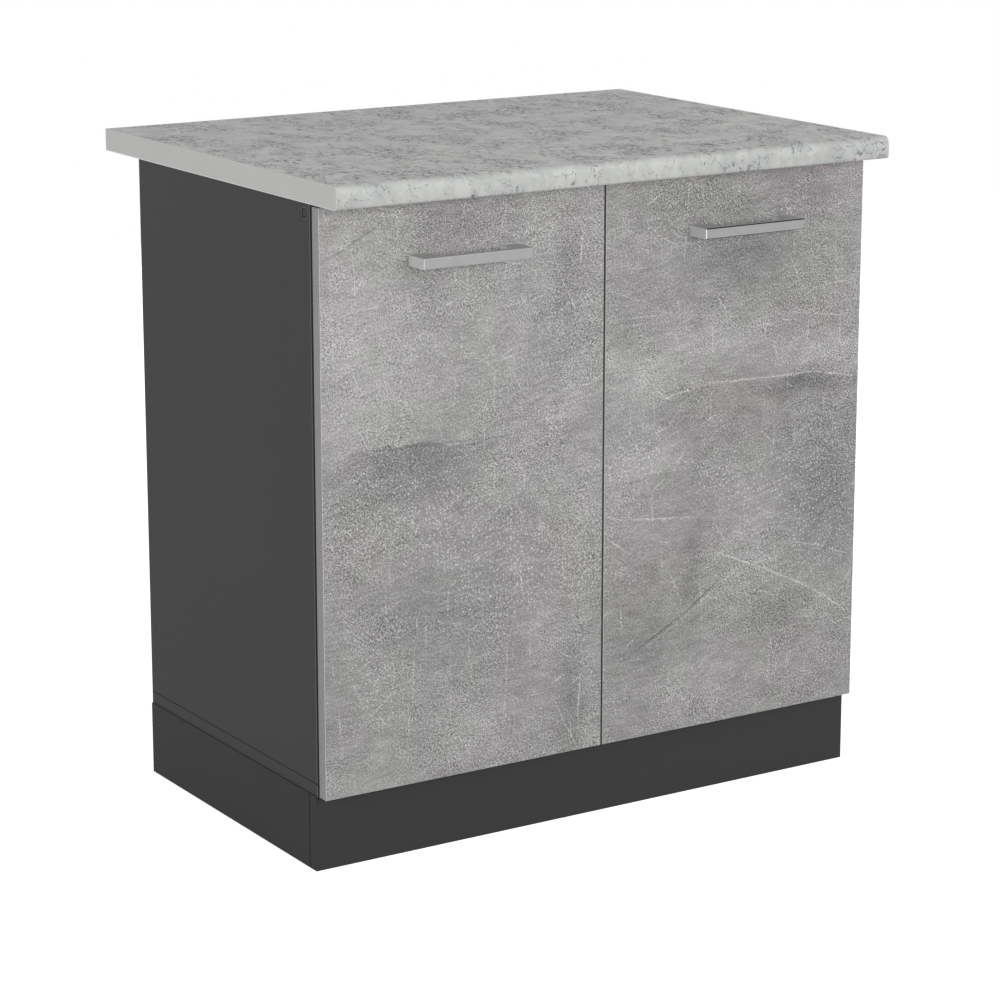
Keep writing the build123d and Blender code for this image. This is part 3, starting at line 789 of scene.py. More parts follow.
RIGHT_MARKS = Marks(
    strokes=(
        Stroke(((0.053, 0.772), (0.101, 0.801)), 0.28),
        Stroke(((0.001, 0.680), (0.040, 0.663), (0.076, 0.653)), 0.24),
        Stroke(((0.011, 0.639), (0.117, 0.639)), 0.20),
        Stroke(((0.301, 0.637), (0.328, 0.651), (0.388, 0.656)), 0.28),
        Stroke(((0.296, 0.620), (0.372, 0.609)), 0.26),
        Stroke(((0.357, 0.723), (0.359, 0.617)), 0.18),
        Stroke(((0.282, 0.699), (0.301, 0.658)), 0.22),
        Stroke(((0.087, 0.531), (0.159, 0.544), (0.243, 0.541), (0.329, 0.540), (0.395, 0.527)), 0.30, 0.002),
        Stroke(((0.072, 0.550), (0.097, 0.530)), 0.30, 0.0016),
        Stroke(
            ((0.174, 0.322), (0.245, 0.292), (0.294, 0.269), (0.332, 0.250), (0.388, 0.212)), 0.36, 0.0016
        ),
        Stroke(((0.288, 0.321), (0.343, 0.306), (0.395, 0.287)), 0.26),
        Stroke(((0.001, 0.392), (0.027, 0.384), (0.145, 0.372)), 0.26, 0.0018),
        Stroke(((0.001, 0.366), (0.044, 0.336)), 0.30, 0.0014),
        Stroke(((0.101, 0.309), (0.119, 0.267)), 0.24),
        Stroke(((0.055, 0.207), (0.126, 0.242), (0.188, 0.283)), 0.24),
        Stroke(((0.052, 0.211), (0.124, 0.247), (0.187, 0.289)), -0.36, 0.0014),
        Stroke(((0.391, 0.368), (0.288, 0.329), (0.240, 0.314)), -0.28),
    ),
    patches=(
        Spot(0.130, 0.600, 0.200, 0.050, 0.34),
        Spot(0.330, 0.565, 0.130, 0.035, 0.28),
        Spot(0.045, 0.550, 0.070, 0.070, 0.20),
        Spot(0.100, 0.545, 0.080, 0.050, 0.20, above=0.538),
        Spot(0.060, 0.455, 0.110, 0.050, 0.20, above=0.441),
        Spot(0.300, 0.545, 0.120, 0.040, -0.22, below=0.536),
        Spot(0.045, 0.610, 0.050, 0.040, -0.26),
        Spot(0.195, 0.700, 0.110, 0.045, -0.30),
        Spot(0.300, 0.765, 0.090, 0.060, -0.16),
        Spot(0.220, 0.660, 0.340, 0.340, -0.16),
        Spot(0.135, 0.310, 0.030, 0.070, -0.20),
        Spot(0.320, 0.527, 0.110, 0.022, -0.34),
        Spot(0.345, 0.380, 0.110, 0.140, -0.30),
        Spot(0.060, 0.440, 0.080, 0.060, 0.18),
        Spot(0.060, 0.360, 0.110, 0.070, 0.10),
        Spot(0.060, 0.225, 0.080, 0.060, -0.15),
        Spot(0.285, 0.215, 0.060, 0.060, -0.20),
        Spot(0.140, 0.160, 0.180, 0.050, 0.10),
        Spot(0.120, 0.770, 0.110, 0.050, -0.16),
        Spot(0.230, 0.360, 0.080, 0.100, 0.12),
    ),
    specked=(
        Spot(0.320, 0.390, 0.120, 0.130, 1.4),
        Spot(0.270, 0.740, 0.060, 0.060, 1.2),
        Spot(0.190, 0.420, 0.080, 0.070, 1.0),
        Spot(0.045, 0.470, 0.060, 0.050, 0.8),
        Spot(0.285, 0.170, 0.060, 0.050, 1.1),
        Spot(0.090, 0.720, 0.090, 0.080, 0.6),
    ),
    tinged=(
        Spot(0.150, 0.780, 0.180, 0.060, 0.34),
        Spot(0.330, 0.690, 0.080, 0.060, 0.26),
        Spot(0.210, 0.260, 0.110, 0.090, 0.22),
        Spot(0.240, 0.430, 0.080, 0.060, 0.20),
        Spot(0.130, 0.500, 0.070, 0.050, -0.34),
        Spot(0.290, 0.570, 0.120, 0.060, -0.30),
        Spot(0.285, 0.225, 0.050, 0.070, -0.30),
        Spot(0.090, 0.115, 0.140, 0.060, -0.26),
        Spot(0.340, 0.145, 0.090, 0.070, -0.26),
        Spot(0.040, 0.690, 0.050, 0.080, -0.20),
    ),
    warmed=(
        Spot(0.070, 0.330, 0.150, 0.110, 1.1),
        Spot(0.200, 0.510, 0.110, 0.060, 0.9),
        Spot(0.320, 0.625, 0.100, 0.060, 0.6),
        Spot(0.260, 0.170, 0.120, 0.100, 0.5),
        Spot(0.200, 0.705, 0.090, 0.050, -0.9),
        Spot(0.345, 0.385, 0.100, 0.130, -1.0),
        Spot(0.030, 0.550, 0.060, 0.080, -0.7),
    ),
)


@dataclass
class Ground:
    """The sheet, coordinates and noises that the layers of one print share.

    place holds the three parts of the Object coordinates, plane the flat coordinates, bent the same
    moved about by a noise, and zones three broad noises.
    """

    sheet: Sheet
    place: tuple[Socket, ...]
    plane: Socket
    bent: Socket
    zones: tuple[Socket, ...]
    grain: Socket


@dataclass
class ConcreteGround(Ground):
    """What the layers of a concrete print share besides."""

    mottle: Socket
    curls: Socket


@dataclass
class MarbleGround(Ground):
    """What the layers of a marble print share besides: 1 on the flat top and 0 on the nose."""

    cloud: Socket
    on_top: Socket

    def here(self, nose: float, top: float) -> Socket:
        """Gives one number on the nose and another on the top."""
        return self.sheet.blend(self.on_top, nose, top)


@dataclass(frozen=True)
class Strewn:
    """Scratches strewn over a print: cells per metre, a lean and its spread in radians, and a size."""

    scale: float
    lean: float
    spread: float
    reach: Point


@dataclass(frozen=True)
class ConcretePrint(Finish):
    """The doors' facing: a dull print of smoothed concrete with scratches and soft clouds."""

    effects: Effects
    name: str
    front: float
    marks: Marks
    dark: Colour = shade(92)
    middle: Colour = shade(152)
    light: Colour = shade(208)
    violet: Colour = (1.0, 0.971, 0.997)
    green: Colour = (0.988, 0.985, 0.969)
    warm: Colour = (1.0, 0.986, 0.962)
    cool: Colour = (0.982, 0.986, 0.993)
    band: Colour = shade(154)
    # arris is the colour of a painted highlight along the door's front edges.
    arris: Colour = shade(205)
    drift: Layer = FlatLayer(7.0, 3.0, 0.55, reach=0.05)
    cloud: Layer = FlatLayer(5.5, 3.0, 0.6, reach=0.20)
    mottle: Layer = FlatLayer(38.0, 3.0, 0.68, reach=0.31)
    streak: Layer = FlatLayer(230.0, 2.0, 0.75, reach=0.34)
    grain: Layer = FlatLayer(640.0, 1.0, 0.8, reach=1.72)
    curls: Layer = FlatLayer(255.0, 1.5, 0.6)
    mottle_stretch: Point = (0.7, 1.25, 1.0)
    streak_turn: float = -0.16
    streak_stretch: float = 0.14
    grain_turn: float = -0.65
    grain_stretch: float = 0.66
    curls_turn: float = 0.5
    curls_stretch: float = 0.8
    # Painted shade: the tone is lowered at the foot and raised at the head.
    foot_to_head: Span = (0.30, 0.80, -0.045, 0.025)
    worms: Span = (0.0, 0.07, 0.60, 0.42)
    busy: Span = (0.38, 0.62, 0.55, 1.05)
    fine_middle: float = 0.46
    dot_scale: float = 200.0
    dot_size: float = 0.35
    dot_chance: Span = (0.44, 0.66, 0.05, 0.45)
    dot_curls: Span = (0.40, 0.56, 0.15, 1.0)
    upright: Strewn = Strewn(15.0, 1.571, 0.25, (0.028, 0.0015, 1.0))
    crossed: Strewn = Strewn(26.0, 0.35, 2.6, (0.020, 0.0013, 1.0))
    broken: Span = (0.36, 0.58, 0.15, 1.0)
    patch_share: float = 0.62
    dot_share: float = 0.82
    strewn_share: float = 0.52
    stroke_share: float = 2.0
    tinge_share: float = 0.5
    tinge: Span = (0.40, 0.60)
    warmth: Span = (-1.0, 1.0)
    highlight_share: float = 0.9
    band_contrast: float = 0.14
    band_grain: Span = (0.1, 0.8)
    dull: Span = (0.35, 0.65, 0.68, 0.62)
    gloss: float = 0.2
    relief: float = 0.00006
    wrap: float = 0.7
    highlight_depth: float = 0.0007
    highlight_start: float = 0.15

    def _ground(self, sheet: Sheet, place: Socket) -> ConcreteGround:
        """Makes the coordinates and the noises that every layer reads.

        Args:
            sheet: The sheet to fill.
            place: The Object coordinates.

        Returns:
            What the layers share. Its plane is carried on round the door's edges.
        """
        plane = sheet.group(
            self.effects.unroll,
            Vector=place,
            Across=(1.0, 1.0, 0.0),
            Up=(0.0, self.wrap, 1.0),
            Start=(0.0, self.front, 0.0),
        )["Plane"]
        drift = sheet.noise(plane, self.drift, out="Color")
        bent = sheet.bent(plane, drift, self.drift.reach)
        drawn = sheet.vector("MULTIPLY", bent, self.mottle_stretch)
        return ConcreteGround(
            sheet=sheet,
            place=sheet.axes(place),
            plane=plane,
            bent=bent,
            zones=sheet.axes(drift),
            grain=sheet.noise(sheet.turned(bent, self.grain_turn, self.grain_stretch), self.grain),
            mottle=sheet.noise(drawn, self.mottle),
            curls=sheet.noise(sheet.turned(plane, self.curls_turn, self.curls_stretch), self.curls),
        )

    def _spot(self, sheet: Sheet, plane: Socket, spot: Spot) -> Socket:
        """Gives 1 in the middle of a spot, falling to 0 at its edge, and cut off at its height.

        Args:
            sheet: The sheet to fill.
            plane: The flat coordinates.
            spot: The spot.

        Returns:
            The value's socket.
        """
        mask = sheet.group(
            self.effects.stroke,
            Plane=plane,
            Centre=(spot.across, spot.up, 0.0),
            Turn=(0.0, 0.0, spot.turn),
            Reach=(spot.reach_across, spot.reach_up, 1.0),
        )["Mask"]
        for test, limit in (("LESS_THAN", spot.below), ("GREATER_THAN", spot.above)):
            if limit is not None:
                mask = sheet.product(mask, sheet.sum(test, sheet.axes(plane)[1], limit))
        return mask

    def _sum_spots(self, sheet: Sheet, plane: Socket, spots: tuple[Spot, ...]) -> Value:
        """Adds up a set of spots, each with its own strength.

        Args:
            sheet: The sheet to fill.
            plane: The flat coordinates.
            spots: The spots.

        Returns:
            The sum's socket.
        """
        total: Value = 0.0
        for spot in spots:
            total = sheet.sum("MULTIPLY_ADD", self._spot(sheet, plane, spot), spot.strength, total)
        return total

    def _clouded(self, ground: ConcreteGround) -> Socket:
        """Gives the broad tone: clouds, mottling, marked patches, and painted shade that makes the foot
        darker than the head.

        Args:
            ground: What the layers share.

        Returns:
            The tone, near 0.5.
        """
        sheet = ground.sheet
        tone = sheet.swing(sheet.noise(ground.bent, self.cloud), self.cloud.reach, 0.5)
        tone = sheet.swing(ground.mottle, self.mottle.reach, tone)
        patches = self._sum_spots(sheet, ground.bent, self.marks.patches)
        tone = sheet.sum("MULTIPLY_ADD", patches, self.patch_share, tone)
        return sheet.sum("ADD", tone, sheet.span(ground.place[2], *self.foot_to_head))

    def _fine(self, ground: ConcreteGround) -> Socket:
        """Gives the fine grain, with pale winding lines running through it."""
        worms = ground.sheet.span(ground.sheet.ridge(ground.curls), *self.worms)
        return ground.sheet.swing(ground.grain, self.grain.reach, worms)

    def _grained(self, ground: ConcreteGround, fine: Socket, tone: Socket) -> Socket:
        """Adds smoothing streaks, and the fine grain, which is busier in some zones.

        Args:
            ground: What the layers share.
            fine: The fine grain.
            tone: The tone so far.

        Returns:
            The tone.
        """
        sheet = ground.sheet
        swept = sheet.turned(ground.bent, self.streak_turn, self.streak_stretch)
        tone = sheet.swing(sheet.noise(swept, self.streak), self.streak.reach, tone)
        busy = sheet.span(ground.zones[0], *self.busy)
        return sheet.sum("MULTIPLY_ADD", sheet.sum("SUBTRACT", fine, self.fine_middle), busy, tone)

    def _dotted(self, ground: ConcreteGround, tone: Socket) -> Socket:
        """Adds pale pin-points, thickest where the print is marked as specked.

        Args:
            ground: What the layers share.
            tone: The tone so far.

        Returns:
            The tone.
        """
        sheet = ground.sheet
        chance = sheet.span(ground.zones[1], *self.dot_chance)
        specked = self._sum_spots(sheet, ground.bent, self.marks.specked)
        dense = sheet.sum("ADD", chance, specked, clamp=True)
        dots = sheet.group(self.effects.dots, Plane=ground.plane, Scale=self.dot_scale, Size=self.dot_size)
        dotted = sheet.product(dots["Mask"], sheet.span(ground.curls, *self.dot_curls), dense)
        return sheet.sum("MULTIPLY_ADD", dotted, self.dot_share, tone)

    def _scratched(self, ground: ConcreteGround, tone: Socket) -> Socket:
        """Adds the strewn scratches and the marked strokes, all broken up by the grain.

        Args:
            ground: What the layers share.
            tone: The tone so far.

        Returns:
            The tone.
        """
        sheet = ground.sheet
        upright, crossed = (
            sheet.group(
                self.effects.scratches,
                Plane=ground.plane,
                Scale=kind.scale,
                Lean=kind.lean,
                Spread=kind.spread,
                Reach=kind.reach,
            )["Mask"]
            for kind in (self.upright, self.crossed)
        )
        strewn = sheet.product(sheet.sum("ADD", upright, crossed), self.strewn_share)
        runs = tuple(spot for stroke in self.marks.strokes for spot in stroke.spots())
        marked = self._sum_spots(sheet, ground.plane, runs)
        worn = sheet.sum("MULTIPLY_ADD", marked, self.stroke_share, strewn)
        broken = sheet.span(ground.grain, *self.broken)
        return sheet.sum("MULTIPLY_ADD", worn, broken, tone)

    def _coloured(self, ground: ConcreteGround, tone: Socket) -> Socket:
        """Turns the tone into a grey that is violet or green, and cool or warm, in places.

        Args:
            ground: What the layers share.
            tone: The finished tone.

        Returns:
            The colour.
        """
        sheet = ground.sheet
        grey = sheet.ramp(tone, [(0.0, self.dark), (0.5, self.middle), (1.0, self.light)])
        tinged = self._sum_spots(sheet, ground.bent, self.marks.tinged)
        hue = sheet.sum("MULTIPLY_ADD", tinged, self.tinge_share, ground.zones[2])
        tint = sheet.mix(sheet.span(hue, *self.tinge), self.violet, self.green)
        warmed = self._sum_spots(sheet, ground.bent, self.marks.warmed)
        glow = sheet.mix(sheet.span(warmed, *self.warmth), self.cool, self.warm)
        return sheet.times(sheet.times(grey, tint), glow)

    def _edged(self, ground: ConcreteGround, face: Socket, fine: Socket) -> Socket:
        """Adds a painted highlight along the arris round the face, and the plain band on the door's edges.

        Args:
            ground: What the layers share.
            face: The face's colour.
            fine: The fine grain.

        Returns:
            The colour.
        """
        sheet = ground.sheet
        depth = sheet.sum("SUBTRACT", ground.place[1], self.front)
        # A painted highlight lies on the arris just behind the face.
        on_highlight = sheet.sum("GREATER_THAN", depth, self.highlight_depth * self.highlight_start)
        on_band = sheet.sum("GREATER_THAN", depth, self.highlight_depth)
        lit = sheet.mix(sheet.product(on_highlight, self.highlight_share), face, self.arris)
        low = dimmed(self.band, 1.0 - self.band_contrast)
        high = dimmed(self.band, 1.0 + self.band_contrast)
        edge = sheet.mix(sheet.span(fine, *self.band_grain), low, high)
        return sheet.mix(on_band, lit, edge)

    def build(self) -> bpy.types.Material:
        """Builds the material.

        Returns:
            The finished material.
        """
        material, sheet, shader, place = self.start()
        ground = self._ground(sheet, place)
        fine = self._fine(ground)
        tone = self._grained(ground, fine, self._clouded(ground))
        tone = self._scratched(ground, self._dotted(ground, tone))
        sheet.fill(
            shader,
            Base_Color=self._edged(ground, self._coloured(ground, tone), fine),
            Roughness=sheet.span(ground.mottle, *self.dull),
            Normal=sheet.bump(ground.grain, self.relief),
            Specular_IOR_Level=self.gloss,
        )
        return material


@dataclass(frozen=True)
class RawEdge:
    """Bare pressed chips, as on the sawn rear edge of a board."""

    dark: Colour
    light: Colour
    pits: float
    scale: float = 260.0
    skin: float = 0.0002

    def lay(
        self, sheet: Sheet, chips: dict[str, Socket], is_back: Socket, colour: object, height: Socket
    ) -> tuple[Socket, Socket]:
        """Puts the chips over a finish where the board is raw.

        Args:
            sheet: The sheet to fill.
            chips: The results of the chips effect.
            is_back: 1 where the board is raw, and 0 elsewhere.
            colour: The finish's colour.
            height: The finish's height.

        Returns:
            The colour and the height.
        """
        raw = sheet.mix(chips["Tone"], self.dark, self.light)
        pitted = sheet.product(chips["Gap"], -self.pits)
        return sheet.mix(is_back, colour, raw), sheet.blend(is_back, height, pitted)


@dataclass(frozen=True)
class MarblePrint(Finish):
    """The worktop's laminate: a satin print of pale veined marble, raw at the back and underneath."""

    effects: Effects
    top: float
    underside: float
    back: float
    name: str = "marble_print"
    pale: Colour = shade(216, red=-1.7, blue=-3.4)
    middle: Colour = shade(205, red=-1.7, blue=-3.4)
    cloudy: Colour = shade(182, red=-1.5, blue=-2.5)
    mist: Colour = shade(180, red=-3.0, blue=-0.5)
    vein: Colour = shade(56, red=-1.5, blue=-1.0)
    backing: Colour = shade(132, red=14.0, blue=-8.0)
    raw: RawEdge = RawEdge(shade(122, red=18.0, blue=-14.0), shade(188, red=16.0, blue=-20.0), pits=6.0)
    fold: float = 0.8
    arris: float = 0.0006
    drift: Layer = FlatLayer(40.0, 3.0, 0.7, reach=0.026)
    zones: Layer = FlatLayer(14.0, 3.0, 0.65)
    cloud: Layer = FlatLayer(34.0, 4.0, 0.68, reach=1.2)
    drape: Layer = FlatLayer(75.0, 2.0, 0.6)
    wander: Layer = FlatLayer(36.0, 2.0, 0.6)
    grain: Layer = FlatLayer(240.0, 2.0, 0.7)
    grain_turn: float = 0.5
    drape_stretch: Point = (1.0, 0.25, 1.0)
    net_scale: float = 66.0
    blotched: Span = (0.52, 0.70)
    draped: Span = (0.36, 0.64, 0.0, 0.9)
    clouded: Span = (0.34, 0.60)
    blotch_shares: NoseTop = (0.3, 0.45)
    back_shade_depth: float = 0.60
    back_shade_share: float = 0.30
    clustered: Span = (0.44, 0.64)
    found: Span = (0.42, 0.54)
    broken: Span = (0.35, 0.53)
    flecked: Span = (0.60, 0.72)
    fleck_floor: float = 0.5
    net_sharpness: NoseTop = (17.0, 8.0)
    net_shares: NoseTop = (0.85, 1.0)
    single_sharpness: NoseTop = (60.0, 26.0)
    mist_sharpness: NoseTop = (0.6, 2.2)
    mist_shares: NoseTop = (0.35, 0.5)
    fleck_shares: NoseTop = (0.1, 0.75)
    dark_shares: NoseTop = (0.78, 0.98)
    nose_shade_low: float = 0.77
    # How dark the painted shade makes the nose at its lower and at its upper edge.
    nose_shade_high: float = 0.90
    satin: Ends = (0.48, 0.54)
    raw_roughness: float = 0.85
    gloss: float = 0.15
    relief: float = 0.00003

    def _ground(self, sheet: Sheet, place: Socket) -> MarbleGround:
        """Makes the coordinates and the noises that every layer reads.

        Args:
            sheet: The sheet to fill.
            place: The Object coordinates.

        Returns:
            What the layers share. Its plane is carried on over the rounded nose.
        """
        plane = sheet.group(
            self.effects.unroll,
            Vector=place,
            Across=(1.0, 0.0, 0.0),
            Up=(0.0, self.fold, 1.0),
            Start=(0.0, 0.0, self.top),
        )["Plane"]
        bent = sheet.bent(plane, sheet.noise(plane, self.drift, out="Color"), self.drift.reach)
        axes = sheet.axes(place)
        return MarbleGround(
            sheet=sheet,
            place=axes,
            plane=plane,
            bent=bent,
            zones=sheet.axes(sheet.noise(plane, self.zones, out="Color")),
            grain=sheet.noise(sheet.turned(plane, self.grain_turn), self.grain),
            cloud=sheet.noise(bent, self.cloud),
            on_top=sheet.sum("GREATER_THAN", axes[2], self.top - self.arris),
        )

    def _body(self, ground: MarbleGround) -> Socket:
        """Gives the pale body of the marble with its clouds, and painted shade that makes the top a little
        darker towards the back.

        Args:
            ground: What the layers share.

        Returns:
            The colour.
        """
        sheet = ground.sheet
        drape = sheet.noise(sheet.vector("MULTIPLY", ground.bent, self.drape_stretch), self.drape)
        pattern = ground.here(sheet.span(drape, *self.draped), sheet.span(ground.cloud, *self.clouded))
        base = sheet.mix(pattern, self.pale, self.middle)
        cloud = sheet.swing(ground.cloud, self.cloud.reach, ground.zones[0])
        blotch = sheet.product(sheet.span(cloud, *self.blotched), ground.here(*self.blotch_shares))
        body = sheet.mix(blotch, base, self.cloudy)
        # Painted shade: the top darkens towards the back.
        fade = sheet.span(ground.place[1], self.back - self.back_shade_depth, self.back, 0.0, self.back_shade_share)
        return sheet.mix(sheet.product(fade, ground.on_top), body, self.cloudy)

    def _veined(self, ground: MarbleGround, body: Socket) -> Socket:
        """Adds clusters of fine veins in a grey mist, single winding veins, and flecks.

        Args:
            ground: What the layers share.
            body: The colour of the body.

        Returns:
            The colour.
        """
        sheet = ground.sheet
        cluster = sheet.span(ground.zones[1], *self.clustered)
        net = sheet.cells(ground.bent, self.net_scale, feature="DISTANCE_TO_EDGE").outputs["Distance"]
        around = sheet.near(sheet.product(net, ground.here(*self.mist_sharpness)))
        mist = sheet.product(sheet.product(around, cluster), ground.here(*self.mist_shares))
        misty = sheet.mix(mist, body, self.mist)

        lines = sheet.near(sheet.product(net, ground.here(*self.net_sharpness)))
        lines = sheet.product(lines, sheet.product(cluster, ground.here(*self.net_shares)))
        ridge = sheet.ridge(sheet.noise(ground.bent, self.wander))
        single = sheet.near(sheet.product(ridge, ground.here(*self.single_sharpness)))
        single = sheet.product(single, sheet.span(ground.zones[2], *self.found))
        broken = sheet.span(ground.grain, *self.broken)
        veins = sheet.product(sheet.sum("MAXIMUM", lines, single), broken)
        patchy = sheet.sum("MAXIMUM", cluster, self.fleck_floor)
        flecks = sheet.product(sheet.span(ground.grain, *self.flecked), patchy)
        flecks = sheet.product(flecks, ground.here(*self.fleck_shares))
        dark = sheet.product(sheet.sum("MAXIMUM", veins, flecks), ground.here(*self.dark_shares))
        return sheet.mix(dark, misty, self.vein)

    def build(self) -> bpy.types.Material:
        """Builds the material.

        Returns:
            The finished material.
        """
        material, sheet, shader, place = self.start()
        ground = self._ground(sheet, place)
        veined = self._veined(ground, self._body(ground))
        _, y, z = ground.place
        # Painted shade: the nose is darkened, most towards its lower edge.
        shaded = sheet.span(z, self.underside, self.top, self.nose_shade_low, self.nose_shade_high)
        veined = sheet.times(veined, sheet.blend(ground.on_top, shaded, 1.0))

        chips = sheet.group(self.effects.chips, Vector=place, Scale=self.raw.scale)
        is_back = sheet.sum("GREATER_THAN", y, self.back - self.raw.skin)
        is_under = sheet.sum("LESS_THAN", z, self.underside + self.raw.skin)
        face, height = self.raw.lay(sheet, chips, is_back, veined, ground.grain)
        satin = sheet.spread(ground.cloud, *self.satin)
        hidden = sheet.sum("MAXIMUM", is_back, is_under)
        sheet.fill(
            shader,
            Base_Color=sheet.mix(is_under, face, self.backing),
            Roughness=sheet.blend(hidden, satin, self.raw_roughness),
            Normal=sheet.bump(height, self.relief),
            Specular_IOR_Level=self.gloss,
        )
        return material


@dataclass(frozen=True)
class Melamine(Finish):
    """Dark melamine-faced board, with a lighter edge band in front, a painted highlight along the arris just
    behind it, and raw chips at the back.

    Its joint lines lie at the heights joints_z and the depths joints_y, on the outside only.
    """

    effects: Effects
    front: float
    back: float
    joints_z: tuple[float, ...] = ()
    joints_y: tuple[float, ...] = ()
    outside: float = 0.0
    name: str = "anthracite_melamine"
    face: Colour = shade(67)
    band: Colour = shade(76)
    # arris is the colour of a painted highlight along the front arris.
    arris: Colour = shade(132)
    joint: Colour = shade(16)
    raw: RawEdge = RawEdge(shade(116, red=18.0, blue=-14.0), shade(180, red=16.0, blue=-18.0), pits=3.0)
    drift: Layer = Layer(3.0, 3.0, reach=0.5)
    pearl: Layer = Layer(700.0, 2.0, 0.6, reach=0.6)
    contrast: float = 0.06
    band_skin: float = 0.0002
    highlight_width: float = 0.0010
    joint_width: float = 0.0012
    outer_skin: float = 0.0004
    raw_back: bool = True
    satin: Ends = (0.54, 0.62)
    gloss: float = 0.08
    relief: float = 0.00005

    def _joints(self, sheet: Sheet, axes: tuple[Socket, ...]) -> Socket:
        """Gives 1 on the joint lines of the outside.

        Args:
            sheet: The sheet to fill.
            axes: The three parts of the Object coordinates.

        Returns:
            The value's socket.
        """
        x, y, z = axes
        places = [(z, level) for level in self.joints_z] + [(y, depth) for depth in self.joints_y]
        total: Value = 0.0
        for axis, place in places:
            away = sheet.sum("SUBTRACT", axis, place)
            mask = sheet.group(self.effects.line, Distance=away, Width=self.joint_width)["Mask"]
            total = sheet.sum("MAXIMUM", total, mask)
        outer = sheet.sum("GREATER_THAN", sheet.sum("ABSOLUTE", x), self.outside - self.outer_skin)
        return sheet.product(total, outer)

    def build(self) -> bpy.types.Material:
        """Builds the material.

        Returns:
            The finished material.
        """
        material, sheet, shader, place = self.start()
        axes = sheet.axes(place)
        pearl = sheet.noise(place, self.pearl)
        shift = sheet.swing(sheet.noise(place, self.drift), self.drift.reach, 0.5)
        shift = sheet.swing(pearl, self.pearl.reach, shift)
        low = dimmed(self.face, 1.0 - self.contrast)
        high = dimmed(self.face, 1.0 + self.contrast)
        depth = sheet.sum("SUBTRACT", axes[1], self.front)
        # A painted highlight on the arris just behind the front edge.
        on_highlight = sheet.sum("LESS_THAN", depth, self.highlight_width)
        colour = sheet.mix(on_highlight, sheet.mix(shift, low, high), self.arris)
        colour = sheet.mix(sheet.sum("LESS_THAN", depth, self.band_skin), colour, self.band)
        if self.joints_z or self.joints_y:
            colour = sheet.mix(self._joints(sheet, axes), colour, self.joint)
        height = pearl
        if self.raw_back:
            chips = sheet.group(self.effects.chips, Vector=place, Scale=self.raw.scale)
            is_back = sheet.sum("GREATER_THAN", axes[1], self.back - self.raw.skin)
            colour, height = self.raw.lay(sheet, chips, is_back, colour, pearl)
        sheet.fill(
            shader,
            Base_Color=colour,
            Roughness=sheet.spread(pearl, *self.satin),
            Normal=sheet.bump(height, self.relief),
            Specular_IOR_Level=self.gloss,
        )
        return material


@dataclass(frozen=True)
class Hardboard(Finish):
    """Thin back panel: lacquered towards the inside, bare fibres on its rear face."""

    rear: float
    name: str = "hardboard"
    lacquer: Colour = shade(74)
    fibre_dark: Colour = shade(98, red=19.0, blue=-12.0)
    fibre_light: Colour = shade(134, red=21.0, blue=-14.0)
    felt: Layer = Layer(240.0, 5.0, 0.75, distortion=0.6)
    cloud: Layer = Layer(9.0, 3.0, reach=0.22)
    skin: float = 0.0002
    dull: Ends = (0.5, 0.65)
    relief: float = 0.00006

    def build(self) -> bpy.types.Material:
        """Builds the material.

        Returns:
            The finished material.
        """
        material, sheet, shader, place = self.start()
        felt = sheet.noise(place, self.felt)
        mixed = sheet.swing(sheet.noise(place, self.cloud), self.cloud.reach, felt)
        fibres = sheet.mix(sheet.spread(mixed), self.fibre_dark, self.fibre_light)
        is_rear = sheet.sum("GREATER_THAN", sheet.axes(place)[1], self.rear - self.skin)
        sheet.fill(
            shader,
            Base_Color=sheet.mix(is_rear, self.lacquer, fibres),
            Roughness=sheet.spread(felt, *self.dull),
            Normal=sheet.bump(felt, self.relief),
        )
        return material


@dataclass(frozen=True)
class Metal(Finish):
    """Bare or plated metal with a drawn grain."""

    effects: Effects
    name: str
    colour: Colour
    grain: Across
    smooth: float
    dull: float
    bare: float = 1.0
    fine: float = 420.0
    drawn_out: float = 0.02
    tarnish: float = 0.93
    relief: float = 0.00001

    def build(self) -> bpy.types.Material:
        """Builds the material.

        Returns:
            The finished material.
        """
        material, sheet, shader, place = self.start()
        stretch = self.grain.stretch(self.fine * self.drawn_out, self.fine)
        drawn = sheet.group(self.effects.brushing, Vector=place, Stretch=stretch)
        tone = sheet.spread(drawn["Cloud"])
        sheet.fill(
            shader,
            Base_Color=sheet.mix(tone, dimmed(self.colour, self.tarnish), self.colour),
            Roughness=sheet.spread(drawn["Lines"], self.smooth, self.dull),
            Normal=sheet.bump(drawn["Lines"], self.relief),
            Metallic=self.bare,
        )
        return material


@dataclass(frozen=True)
class BevelLight:
    """The painted light on the bevelled edges round a handle's bar: the colours of the side and the top
    edges, and how far back the top one reaches. These colours are painted highlights, except the right
    handle's dark top, which is a painted shadow line.
    """

    side: Colour
    top: Colour
    reach: float


